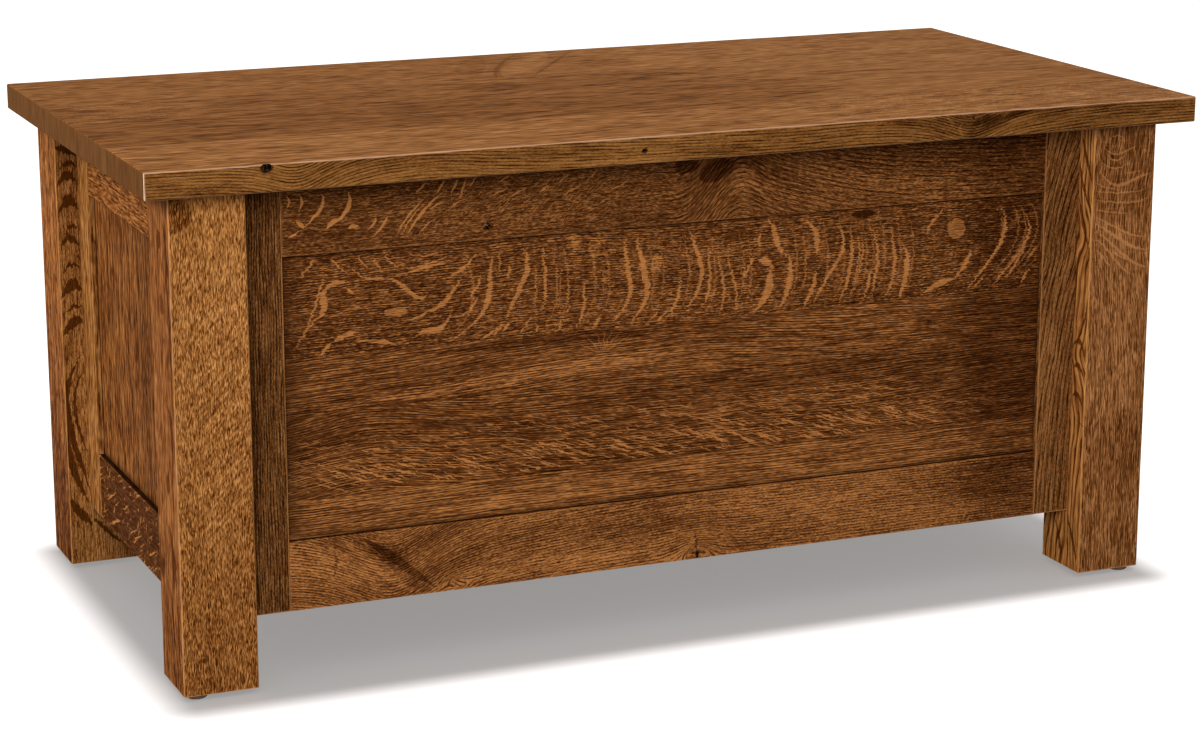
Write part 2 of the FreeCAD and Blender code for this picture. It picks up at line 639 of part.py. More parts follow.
def place_at_hinge(piece, step):
    """Put a hinge piece on the axis of its hinge."""
    move(piece, f"{step} * {HINGE_SPREAD}", HINGE_AXIS_Y, HINGE_AXIS_Z)


def make_case_leaf(hinge, step):
    """The leaf on the back rail: a plate, two end knuckles and a stop lug on the left one."""
    name = f"{hinge}_case_leaf"
    low = "(-1 * Sizes.lid_gap / 2 - Sizes.leaf_thickness)"
    blank = box(name + "_blank", f"-1 * {HALF_HINGE}", f"-1 * ({HINGE_SETBACK} + Sizes.leaf_depth)", low,
                "Sizes.hinge_length", f"{HINGE_SETBACK} + Sizes.leaf_depth", "Sizes.leaf_thickness")
    room = f"({LID_KNUCKLE_END} + Sizes.knuckle_gap)"
    plate = cut(name + "_plate", blank, [along_barrel(name + "_room", CLEAR_OF_KNUCKLE,
                                                      f"(-1 * {room})", room)])
    left = along_barrel(name + "_left_knuckle", "Sizes.barrel_radius",
                        f"(-1 * {HALF_HINGE})", f"(-1 * {CASE_KNUCKLE_END})")
    right = along_barrel(name + "_right_knuckle", "Sizes.barrel_radius", CASE_KNUCKLE_END, HALF_HINGE)
    lug = stop_lug(name + "_lug", "Sizes.case_lug_start", "Sizes.case_lug_angle",
                   f"(-1 * {CASE_KNUCKLE_END})", f"(Sizes.stop_length - {CASE_KNUCKLE_END})")
    solid = fuse(name + "_solid", [plate, left, right, lug])
    bore = along_barrel(name + "_bore", BORE, f"(-1 * {HALF_HINGE})", HALF_HINGE)
    leaf = cut(name + "_cut", solid, [bore] + leaf_screw_holes(name, low, flip=False))
    place_at_hinge(leaf, step)
    return keep(leaf, name)


def make_lid_leaf(hinge, step):
    """The leaf under the lid: a plate, a middle knuckle and the lug that meets the case leaf's."""
    name = f"{hinge}_lid_leaf"
    low = "(Sizes.lid_gap / 2)"
    blank = box(name + "_blank", f"-1 * {HALF_HINGE}", f"-1 * ({HINGE_SETBACK} + Sizes.leaf_depth)", low,
                "Sizes.hinge_length", f"{HINGE_SETBACK} + Sizes.leaf_depth", "Sizes.leaf_thickness")
    rooms = [
        along_barrel(name + "_left_room", CLEAR_OF_KNUCKLE, f"(-1 * {HALF_HINGE})", f"(-1 * {LID_KNUCKLE_END})"),
        along_barrel(name + "_right_room", CLEAR_OF_KNUCKLE, LID_KNUCKLE_END, HALF_HINGE),
    ]
    plate = cut(name + "_plate", blank, rooms)
    lug_end = f"(Sizes.stop_length + Sizes.knuckle_gap - {CASE_KNUCKLE_END})"
    knuckle = along_barrel(name + "_knuckle", "Sizes.barrel_radius", lug_end, LID_KNUCKLE_END)
    start = "(Sizes.case_lug_start + Sizes.case_lug_angle + Sizes.opening_angle + Sizes.stop_slack - 360)"
    lug = stop_lug(name + "_lug", start, "Sizes.lid_lug_angle", f"(-1 * {LID_KNUCKLE_END})", lug_end)
    solid = fuse(name + "_solid", [plate, knuckle, lug])
    bore = along_barrel(name + "_bore", BORE, f"(-1 * {HALF_HINGE})", HALF_HINGE)
    leaf = cut(name + "_cut", solid, [bore] + leaf_screw_holes(name, low, flip=True))
    place_at_hinge(leaf, step)
    return keep(leaf, name)


def make_pin(hinge, step):
    """A headed pin through all three knuckles."""
    name = f"{hinge}_pin"
    shank = along_barrel(name + "_shank", "Sizes.pin_radius", f"(-1 * {HALF_HINGE})", HALF_HINGE)
    head = along_barrel(name + "_head", "Sizes.pin_head_radius",
                        f"(-1 * {HALF_HINGE} - Sizes.pin_head_thickness)", f"(-1 * {HALF_HINGE})")
    pin = fuse(name, [shank, head])
    place_at_hinge(pin, step)
    return pin


def make_screw():
    """A countersunk wood screw, its head's face at the origin and its point down."""
    head = cone("screw_head", "Sizes.screw_radius", "Sizes.screw_head_radius", "Sizes.leaf_thickness",
                "0", "0", "-1 * Sizes.leaf_thickness")
    shank_low = "(Sizes.screw_tip - Sizes.screw_length)"
    shank = cylinder("screw_shank", "Sizes.screw_radius", f"-1 * Sizes.leaf_thickness - {shank_low}",
                     "0", "0", shank_low)
    tip = cone("screw_point", "0", "Sizes.screw_radius", "Sizes.screw_tip",
               "0", "0", "-1 * Sizes.screw_length")
    slot = box("screw_slot", "-1 * Sizes.screw_head_radius", "-1 * Sizes.screw_slot_width / 2",
               "-1 * Sizes.screw_slot_depth", "2 * Sizes.screw_head_radius",
               "Sizes.screw_slot_width", "Sizes.screw_slot_depth")
    return cut("screw", fuse("screw_blank", [head, shank, tip]), [slot])


def make_screw_group(label, screw, level, degrees):
    """Nine screws, three in each leaf, as separate solids of one group."""
    links = []
    for _, step in HINGES:
        for along in SCREWS_ALONG_LEAF:
            link = doc.addObject("App::Link", f"{label}_{len(links) + 1}")
            link.setLink(screw)
            move(link, f"{step} * {HINGE_SPREAD} + {along} * Sizes.screw_spacing",
                 f"{HINGE_AXIS_Y} - {SCREW_BACK}", level, AXIS_X, degrees)
            links.append(link)
    return keep_group(links, label)


# ---------------------------------------------------------------- the whole chest
for end_name, end in (("front", -1), ("back", 1)):
    for side_name, side in (("left", -1), ("right", 1)):
        make_leg(f"{end_name}_{side_name}_leg", side, end)
        make_glide(f"{end_name}_{side_name}_glide", side, end)

for frame in (FRONT, RIGHT, BACK, LEFT):
    make_stile(frame, frame.ends[0], -1)
    make_stile(frame, frame.ends[1], 1)
    make_cleat(frame)
    for which in ("bottom", "top"):
        rail, rail_label = make_rail(frame, which)
        if frame is BACK and which == "top":
            cut_hinge_recesses(rail, rail_label)
        keep(rail, rail_label)

for frame in (FRONT, BACK):
    make_level_panel(frame)
for frame in (LEFT, RIGHT):
    make_upright_panel(frame)

make_bottom()
make_lid()
make_bumpers()

for hinge, step in HINGES:
    make_case_leaf(hinge, step)
    make_lid_leaf(hinge, step)
keep_group([make_pin(hinge, step) for hinge, step in HINGES], "hinge_pins")

doc.recompute()
hinge_screw = make_screw()
make_screw_group("hinge_case_screws", hinge_screw, CASE_TOP, 0)
make_screw_group("hinge_lid_screws", hinge_screw, LID_UNDERSIDE, 180)
doc.recompute()

# ---------------------------------------------------------------- check and write
for item in doc.Objects:
    if "Invalid" in item.State or "Error" in item.State:
        raise RuntimeError(f"{item.Label} did not build: {item.State}")
for piece in subparts:
    if piece.Shape.isNull() or not piece.Shape.isValid():
        raise RuntimeError(f"{piece.Label} has no valid shape")

os.makedirs("parts", exist_ok=True)
for piece in subparts:
    piece.Shape.exportStep(f"parts/{piece.Label}.step")
print(f"{len(subparts)} sub-parts written")
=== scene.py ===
"""An oak blanket chest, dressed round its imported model, in a plain white studio.

Lengths are millimetres and angles degrees unless a name says otherwise.  The chest stands on z = 0
with its front at -Y and its left side at -X.
"""
import logging
import math
from dataclasses import dataclass, field, replace
from enum import Enum
from typing import Iterable, Optional, Union

import bmesh
import bpy
import numpy as np
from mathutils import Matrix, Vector, noise


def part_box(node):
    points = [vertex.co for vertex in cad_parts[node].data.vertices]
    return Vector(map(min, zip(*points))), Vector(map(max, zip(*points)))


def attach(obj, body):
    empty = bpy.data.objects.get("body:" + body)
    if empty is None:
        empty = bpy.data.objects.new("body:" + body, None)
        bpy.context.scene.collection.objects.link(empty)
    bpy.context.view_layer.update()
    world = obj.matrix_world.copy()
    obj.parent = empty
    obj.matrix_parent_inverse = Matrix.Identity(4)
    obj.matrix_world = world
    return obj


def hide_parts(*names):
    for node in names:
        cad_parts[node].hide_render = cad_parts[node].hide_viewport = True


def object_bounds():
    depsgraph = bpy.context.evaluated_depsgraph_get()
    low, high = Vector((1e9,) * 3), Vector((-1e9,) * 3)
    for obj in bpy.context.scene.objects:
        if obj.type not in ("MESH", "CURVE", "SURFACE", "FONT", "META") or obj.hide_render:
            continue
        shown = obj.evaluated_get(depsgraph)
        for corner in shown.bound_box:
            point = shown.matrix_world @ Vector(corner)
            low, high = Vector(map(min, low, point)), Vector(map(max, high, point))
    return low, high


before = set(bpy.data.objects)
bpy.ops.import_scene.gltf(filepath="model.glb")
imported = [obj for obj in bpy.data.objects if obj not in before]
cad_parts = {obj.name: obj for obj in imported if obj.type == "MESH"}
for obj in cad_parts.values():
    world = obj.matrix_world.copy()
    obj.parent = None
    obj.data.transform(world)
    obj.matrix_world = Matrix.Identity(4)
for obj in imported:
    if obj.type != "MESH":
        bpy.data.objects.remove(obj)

LOG = logging.getLogger("chest")
MM = 0.001
PACKED_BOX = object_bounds()
Pair = tuple[float, float]
Triple = tuple[float, float, float]


class Way(Enum):
    """A direction in the chest's frame."""

    LEFT = (0, -1.0)
    RIGHT = (0, 1.0)
    FRONT = (1, -1.0)
    BACK = (1, 1.0)
    UP = (2, 1.0)

    @property
    def axis(self) -> int:
        """Number of the axis it runs along."""
        return self.value[0]

    @property
    def sign(self) -> float:
        """Which way it runs along that axis."""
        return self.value[1]


@dataclass(frozen=True)
class Block:
    """A box with its sides along the axes."""

    low: Vector
    high: Vector

    @classmethod
    def around(cls, *nodes: str) -> "Block":
        """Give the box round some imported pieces.

        Args:
            *nodes: Names of the pieces.

        Returns:
            The box.
        """
        corners = [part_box(node) for node in nodes]
        low = Vector(min(parts) for parts in zip(*(pair[0] for pair in corners)))
        high = Vector(max(parts) for parts in zip(*(pair[1] for pair in corners)))
        return cls(low / MM, high / MM)

    def longer(self, way: Way, below: float, beyond: float) -> "Block":
        """Give the box made longer along one axis.

        Args:
            way: A direction along that axis.
            below: How much further its low end lies.
            beyond: How much further its high end lies.

        Returns:
            The longer box.
        """
        low, high = self.low.copy(), self.high.copy()
        low[way.axis] -= below
        high[way.axis] += beyond
        return Block(low, high)

    def side(self, way: Way) -> float:
        """Give the place of one side along its axis."""
        return self.high[way.axis] if way.sign > 0 else self.low[way.axis]

    def start(self, way: Way) -> float:
        """Give the place of the side opposite to a direction."""
        return self.low[way.axis] if way.sign > 0 else self.high[way.axis]


# ------------------------------------------------------------------------------ node bench
class Wire:
    """A value on its way through a material; arithmetic on it adds the nodes it needs."""

    def __init__(self, bench: "Bench", socket: bpy.types.NodeSocket) -> None:
        """Keep the bench and the socket that the value comes from."""
        self.bench = bench
        self.socket = socket

    def __add__(self, other: "Value") -> "Wire":
        """Add."""
        return self.bench.calc("ADD", self, other)

    def __sub__(self, other: "Value") -> "Wire":
        """Subtract."""
        return self.bench.calc("SUBTRACT", self, other)

    def __rsub__(self, other: float) -> "Wire":
        """Subtract from a number."""
        return self.bench.calc("SUBTRACT", other, self)

    def __mul__(self, other: "Value") -> "Wire":
        """Multiply."""
        return self.bench.calc("MULTIPLY", self, other)

    def __truediv__(self, other: "Value") -> "Wire":
        """Divide."""
        return self.bench.calc("DIVIDE", self, other)

    def __rtruediv__(self, other: float) -> "Wire":
        """Divide a number by it."""
        return self.bench.calc("DIVIDE", other, self)

    def __abs__(self) -> "Wire":
        """Take the size without its sign."""
        return self.bench.calc("ABSOLUTE", self)


Value = Union[float, Wire]


def linear(stain: Triple, shade: float = 1.0) -> tuple[float, float, float, float]:
    """Turn a display colour of 0 to 255 into a shader colour.

    Args:
        stain: Red, green and blue as a screen shows them.
        shade: Factor on the light that the colour gives back.

    Returns:
        Red, green, blue and alpha, linear.
    """
    parts = []
    for level in stain:
        share = level / 255.0
        value = share / 12.92 if share <= 0.04045 else ((share + 0.055) / 1.055) ** 2.4
        parts.append(min(value * shade, 1.0))
    return parts[0], parts[1], parts[2], 1.0


class Bench:
    """Adds nodes to one material and joins them up."""

    def __init__(self, name: str) -> None:
        """Start a material with its shader.

        Args:
            name: Name of the material.
        """
        self.material = bpy.data.materials.new(name)
        self.material.use_nodes = True
        self.tree = self.material.node_tree
        self.shader = self.tree.nodes["Principled BSDF"]

    def feed(self, socket: bpy.types.NodeSocket, value: object) -> None:
        """Give a socket what it needs.

        Args:
            socket: The socket.
            value: A wire or a fixed value.
        """
        if isinstance(value, Wire):
            self.tree.links.new(value.socket, socket)
        else:
            socket.default_value = value

    def add(self, kind: str, feeds: dict, output: int = 0, **settings: object) -> Wire:
        """Add a node.

        Args:
            kind: Blender's name of the node type.
            feeds: Value or wire for each input, by its name or number.
            output: Number of the output that is wanted.
            **settings: Properties of the node.

        Returns:
            The wire from the output.
        """
        node = self.tree.nodes.new(kind)
        for name, value in settings.items():
            setattr(node, name, value)
        for key, value in feeds.items():
            self.feed(node.inputs[key], value)
        return Wire(self, node.outputs[output])

    def calc(self, operation: str, *values: Value) -> Wire:
        """Do one step of arithmetic."""
        return self.add("ShaderNodeMath", dict(enumerate(values)), operation=operation)

    def fused(self, value: Value, factor: Value, more: Value) -> Wire:
        """Multiply, and add."""
        return self.calc("MULTIPLY_ADD", value, factor, more)

    def most(self, values: Iterable[Wire]) -> Wire:
        """Take the largest of several values.

        Args:
            values: The values.

        Returns:
            The largest.
        """
        values = list(values)
        largest = values[0]
        for value in values[1:]:
            largest = self.calc("MAXIMUM", largest, value)
        return largest

    def step(self, value: Value, low: float, high: float, start: float = 0.0, end: float = 1.0) -> Wire:
        """Go smoothly from start to end while the value goes from low to high."""
        feeds = {0: value, 1: low, 2: high, 3: start, 4: end}
        return self.add("ShaderNodeMapRange", feeds, interpolation_type="SMOOTHSTEP")

    def vector(self, along: Value, across: Value, depth: Value) -> Wire:
        """Join three values to a vector."""
        return self.add("ShaderNodeCombineXYZ", {0: along, 1: across, 2: depth})

    def stretch(self, place: Wire, factors: Triple, shift: Triple = (0.0, 0.0, 0.0)) -> Wire:
        """Multiply a vector part by part, and shift it."""
        return self.add("ShaderNodeVectorMath", {0: place, 1: factors, 2: shift}, operation="MULTIPLY_ADD")

    def parts(self, place: Wire) -> tuple[Wire, Wire, Wire]:
        """Split a vector.

        Args:
            place: The vector.

        Returns:
            Its three parts.
        """
        node = self.tree.nodes.new("ShaderNodeSeparateXYZ")
        self.feed(node.inputs[0], place)
        first, second, third = (Wire(self, socket) for socket in node.outputs)
        return first, second, third

    def here(self, origin: Iterable[float] = (0.0, 0.0, 0.0)) -> Wire:
        """Give the place on the chest in millimetres, from an origin."""
        place = self.add("ShaderNodeTexCoord", {}, output=3)
        return self.stretch(place, (1.0 / MM,) * 3, tuple(-part for part in origin))

    def noise(self, place: Wire, size: Triple, seed: float = 0.0, detail: float = 1.0,
              roughness: float = 0.5, colour: bool = False) -> Wire:
        """Make smooth noise about 0.5.

        Args:
            place: Where, in millimetres.
            size: Length of a lump each way, in millimetres.
            seed: Shift that makes it another noise.
            detail: Finer layers on it.
            roughness: How strong the finer layers are.
            colour: Whether three noises are wanted, as a vector.

        Returns:
            The noise.
        """
        factors = tuple(1.0 / length for length in size)
        moved = self.stretch(place, factors, (seed * 7.31, seed * 3.77, seed * 5.13))
        feeds = {"Vector": moved, "Scale": 1.0, "Detail": detail, "Roughness": roughness}
        return self.add("ShaderNodeTexNoise", feeds, output=1 if colour else 0)

    def mix(self, amount: Value, first: object, second: object) -> Wire:
        """Mix two colours."""
        return self.add("ShaderNodeMix", {0: amount, 6: first, 7: second}, output=2, data_type="RGBA")

    def colours(self, value: Wire, stops: Iterable[tuple[float, tuple]]) -> Wire:
        """Turn a value into a colour by stops.

        Args:
            value: The value, 0 to 1.
            stops: The place and the colour of each stop.

        Returns:
            The colour.
        """
        wire = self.add("ShaderNodeValToRGB", {0: value})
        ramp = wire.socket.node.color_ramp
        for index, (place, colour) in enumerate(stops):
            stop = ramp.elements[index] if index < 2 else ramp.elements.new(place)
            stop.position = place
            stop.color = colour
        return wire

    def surface(self, colour: Wire, roughness: Wire) -> None:
        """Give the shader its colour and its roughness."""
        self.feed(self.shader.inputs["Base Color"], colour)
        self.feed(self.shader.inputs["Roughness"], roughness)

    def relief(self, height: Wire, depth: float, strength: float) -> None:
        """Give the shader a bump from a height of 0 to 1 that stands for a depth."""
        feeds = {"Strength": strength, "Distance": depth * MM, "Height": height}
        self.feed(self.shader.inputs["Normal"], self.add("ShaderNodeBump", feeds))

    def plain(self, **values: object) -> None:
        """Set the shader's own sockets; an underscore in a name stands for a space."""
        for name, value in values.items():
            self.shader.inputs[name.replace("_", " ")].default_value = value


# ------------------------------------------------------------------------------ figure of the wood
# Highest degree of the curve that a stroke follows.
MOST_BENT = 3
# Least squared distance from an oval's middle that counts where the grain parts round it.
PARTING_CORE = 0.6
# How much higher than its least level the noise is where a fleck is whole.
FLECK_SOFTNESS = 0.06


@dataclass(frozen=True)
class Lie:
    """How the face of a board lies: the box it is measured in, and which ways it runs and looks."""

    block: Block
    along: Way
    across: Way
    facing: Way

    def coordinates(self, bench: Bench) -> Wire:
        """Measure places from the corner where the board starts.

        Args:
            bench: Where the nodes go.

        Returns:
            The distances along the grain, across it and below the face, as a vector.
        """
        origin = [0.0, 0.0, 0.0]
        origin[self.along.axis] = self.block.start(self.along)
        origin[self.across.axis] = self.block.start(self.across)
        origin[self.facing.axis] = self.block.side(self.facing)
        parts = bench.parts(bench.here(origin))
        turns = ((self.along, 1.0), (self.across, 1.0), (self.facing, -1.0))
        return bench.vector(*(parts[way.axis] * (way.sign * turn) for way, turn in turns))


@dataclass(frozen=True)
class Stroke:
    """One line of figure, lens-shaped, through points given along and across the grain."""

    route: tuple[Pair, ...]
    width: float = 3.0
    tone: float = 0.36

    def inside(self, bench: Bench, along: Wire, across: Wire) -> Wire:
        """Give how far inside the line a place is; less than 0 is outside.

        Args:
            bench: Where the nodes go.
            along: Distance along the grain.
            across: Distance across it.

        Returns:
            The distance in millimetres.
        """
        spans = [max(axis) - min(axis) for axis in zip(*self.route)]
        runs_along = spans[0] > spans[1]
        route = [point if runs_along else point[::-1] for point in self.route]
        run, rise = (along, across) if runs_along else (across, along)
        first, last = min(p[0] for p in route), max(p[0] for p in route)
        middle, half = (first + last) / 2, (last - first) / 2
        share_of = [(p[0] - middle) / half for p in route]
        degree = min(MOST_BENT, len(route) - 1)
        curve = np.polyfit(share_of, [p[1] for p in route], degree)
        share = bench.fused(run, 1.0 / half, -middle / half)
        line: Value = float(curve[0])
        for factor in curve[1:]:
            line = bench.fused(line, share, float(factor))
        slope = min(spans) / max(spans)
        swell = bench.fused(share * share, -self.width / 2, self.width / 2)
        return bench.fused(abs(rise - line), -1.0 / math.hypot(1.0, slope), swell)


def strokes(width: float, *routes: tuple[Pair, ...], tone: float = Stroke.tone) -> tuple[Stroke, ...]:
    """Give lines of one width and tone along several routes."""
    return tuple(Stroke(route, width, tone) for route in routes)


def cosine_and_sine(degrees: float) -> Pair:
    """Give the cosine and the sine of an angle."""
    return math.cos(math.radians(degrees)), math.sin(math.radians(degrees))


@dataclass(frozen=True)
class Spot:
    """An oval of figure, such as a knot or a cloud; tilt turns its length up, soft blurs its rim."""

    along: float
    across: float
    half_length: float
    half_width: float
    tone: float = -0.40
    tilt: float = 0.0
    soft: float = 1.0

    def squared(self, bench: Bench, along: Wire, across: Wire) -> tuple[Wire, Wire]:
        """Measure a place from the middle.

        Args:
            bench: Where the nodes go.
            along: Distance along the grain.
            across: Distance across it.

        Returns:
            The squared distance, 1 at the rim, and the plain distance across.
        """
        u, v = along - self.along, across - self.across
        if self.tilt:
            cosine, sine = cosine_and_sine(self.tilt)
            u, v = u * cosine + v * sine, v * cosine - u * sine
        square = bench.fused(u, u * self.half_length ** -2, v * (v * self.half_width ** -2))
        return square, v

    def inside(self, bench: Bench, along: Wire, across: Wire) -> Wire:
        """Give how far inside the oval a place is; less than 0 is outside."""
        square, _ = self.squared(bench, along, across)
        return (1.0 - bench.calc("SQRT", square)) * (min(self.half_length, self.half_width) / self.soft)

    def parting(self, bench: Bench, along: Wire, across: Wire) -> Wire:
        """Give how far the grain is pushed aside where it passes round the oval."""
        square, v = self.squared(bench, along, across)
        return v / bench.calc("MAXIMUM", square, PARTING_CORE)


@dataclass(frozen=True)
class Swell:
    """A place where the grain lines rise, across the grain, to a height and fall again."""

    along: float
    reach: float
    height: float

    def rise(self, bench: Bench, along: Wire) -> Wire:
        """Give how far the grain has risen at a distance along it."""
        share = bench.fused(along, 1.0 / self.reach, -self.along / self.reach)
        return self.height / bench.fused(share, share, 1.0)


@dataclass(frozen=True)
class Flecks:
    """Many like flecks, strewn by a noise.

    Attributes:
        length: Usual length of a fleck, in millimetres.
        width: Its usual width.
        tilt: Degrees that its length leans from the grain.
        cover: Noise level above which there is a fleck; a higher one gives fewer.
        tone: How much paler than plain wood it is.
        across: First and last place across the grain, and how softly they end; None is everywhere.
        along: The same along the grain.
        seed: Which noise it takes.
    """

    length: float = 20.0
    width: float = 2.0
    tilt: float = 0.0
    cover: float = 0.60
    tone: float = 0.30
    across: Optional[Triple] = None
    along: Optional[Triple] = None
    seed: float = 1.0

    def mask(self, bench: Bench, along: Wire, across: Wire) -> Wire:
        """Give 1 on a fleck and 0 beside it.

        Args:
            bench: Where the nodes go.
            along: Distance along the grain.
            across: Distance across it.

        Returns:
            The mask.
        """
        cosine, sine = cosine_and_sine(self.tilt)
        run = bench.fused(along, cosine, across * sine)
        rise = bench.fused(across, cosine, along * -sine)
        lumps = bench.noise(bench.vector(run, rise, 0.0), (self.length, self.width, 1.0), self.seed, 1.0)
        found = bench.step(lumps, self.cover, self.cover + FLECK_SOFTNESS)
        for band, value in ((self.across, across), (self.along, along)):
            if band:
                low, high, soft = band
                found = found * bench.step(value, low - soft, low + soft)
                found = found * bench.step(value, high + soft, high - soft)
        return found


@dataclass(frozen=True)
class Stain:
    """What the stain looks like on dense, plain and open wood, as a screen shows it."""

    dark: Triple
    ground: Triple
    pale: Triple


class Layer(Enum):
    """The noises of one face; each value is added to the face's seed."""

    STREAKS = 0.0
    STITCHES = 3.0
    PORES = 5.0
    BLOTCHES = 7.0
    FRAYING = 9.0
    WAVES = 11.0
    WANDERING = 13.0
    ARRIS_PATCHES = 17.0
    RIPPLES = 23.0


# Tones at which the grain has the stain's three colours, and the shades beyond them and of the rubbed and
# highlit arrises.
DARK_TONE, PLAIN_TONE, PALE_TONE = 0.25, 0.5, 0.75
DEEPEST_SHADE, PALEST_SHADE, RUBBED_AND_HIGHLIT_SHADE = 0.30, 1.4, 1.45
# Noise levels between which a figure comes up: from none of it to all of it.
STREAK_LEVELS, STITCH_LEVELS, FRAY_LEVELS = (0.36, 0.64), (0.38, 0.66), (0.25, 0.75)
PORE_SOFTNESS = 0.07
# Where a ring line rises and falls, as shares of a ring, and the noise levels where a streak thins it.
RING_RISE, RING_FALL, RING_LEVELS = (0.40, 0.78), (0.98, 0.86), (0.34, 0.62)
# How much of a ring line shows on a dark streak.
RING_ON_DARK = 1.15
# Sizes of the slow clouds, of the fraying and wandering of drawn figure, and of the patches along the rubbed
# and highlit arrises.
BLOTCH_SIZE, FRAY_SIZE, WANDER_SIZE, ARRIS_PATCH_SIZE = (260.0, 40.0), (40.0, 1.6), (8.0, 5.0), (60.0, 60.0)
# How far the sides of drawn figure wander, and how high up a leg the painted shade at its foot reaches.
WANDER_REACH, FOOT_REACH = 0.9, 330.0
# From this strength on a figure covers the grain; the share of it that is covered; the figure's contrast.
STRONG, COVER, CONTRAST = 0.20, 0.6, 1.16
# How far the painted shade at an opening reaches in from a stile and from a rail, and the depth where it is
# full.
STILE_REACH, RAIL_REACH, FULL_DEPTH = 7.0, 10.0, -5.0

BROWN = Stain((62, 30, 9), (104, 61, 29), (168, 109, 58))
GOLDEN = Stain((88, 46, 14), (139, 88, 42), (182, 126, 70))
RUSSET = Stain((80, 39, 14), (136, 80, 38), (190, 122, 62))
OLIVE = Stain((64, 35, 13), (113, 71, 32), (146, 99, 50))
UMBER = Stain((92, 50, 19), (130, 81, 42), (170, 116, 70))
WALNUT = Stain((54, 29, 9), (99, 59, 27), (144, 97, 54))
HONEY = Stain((116, 71, 34), (139, 90, 46), (160, 109, 63))
# Paler colour of the lid's arrises: partly rubbed wood, partly painted highlight.
RUBBED_AND_HIGHLIT = (172, 132, 102)
# Painted highlight on the front corners of the lid.
PAINTED_HIGHLIGHT = (232, 208, 188)
CEDAR = Stain((132, 66, 40), (176, 104, 68), (208, 146, 104))
BARE = Stain((128, 92, 54), (176, 138, 90), (206, 172, 124))
# Near-black stain for the inside of the pits.
PIT_INSIDE = Stain((8, 5, 3), (17, 10, 6), (120, 96, 84))
# Painted shade: a near-black stain for the ledges of the bottom rails, under the panels.
LEDGE_SHADE = Stain((24, 11, 4), (46, 24, 10), (84, 50, 24))
# Colour of the painted shade along the sides of a panel's opening.
OPENING_SHADE_COLOUR = (46, 22, 8)


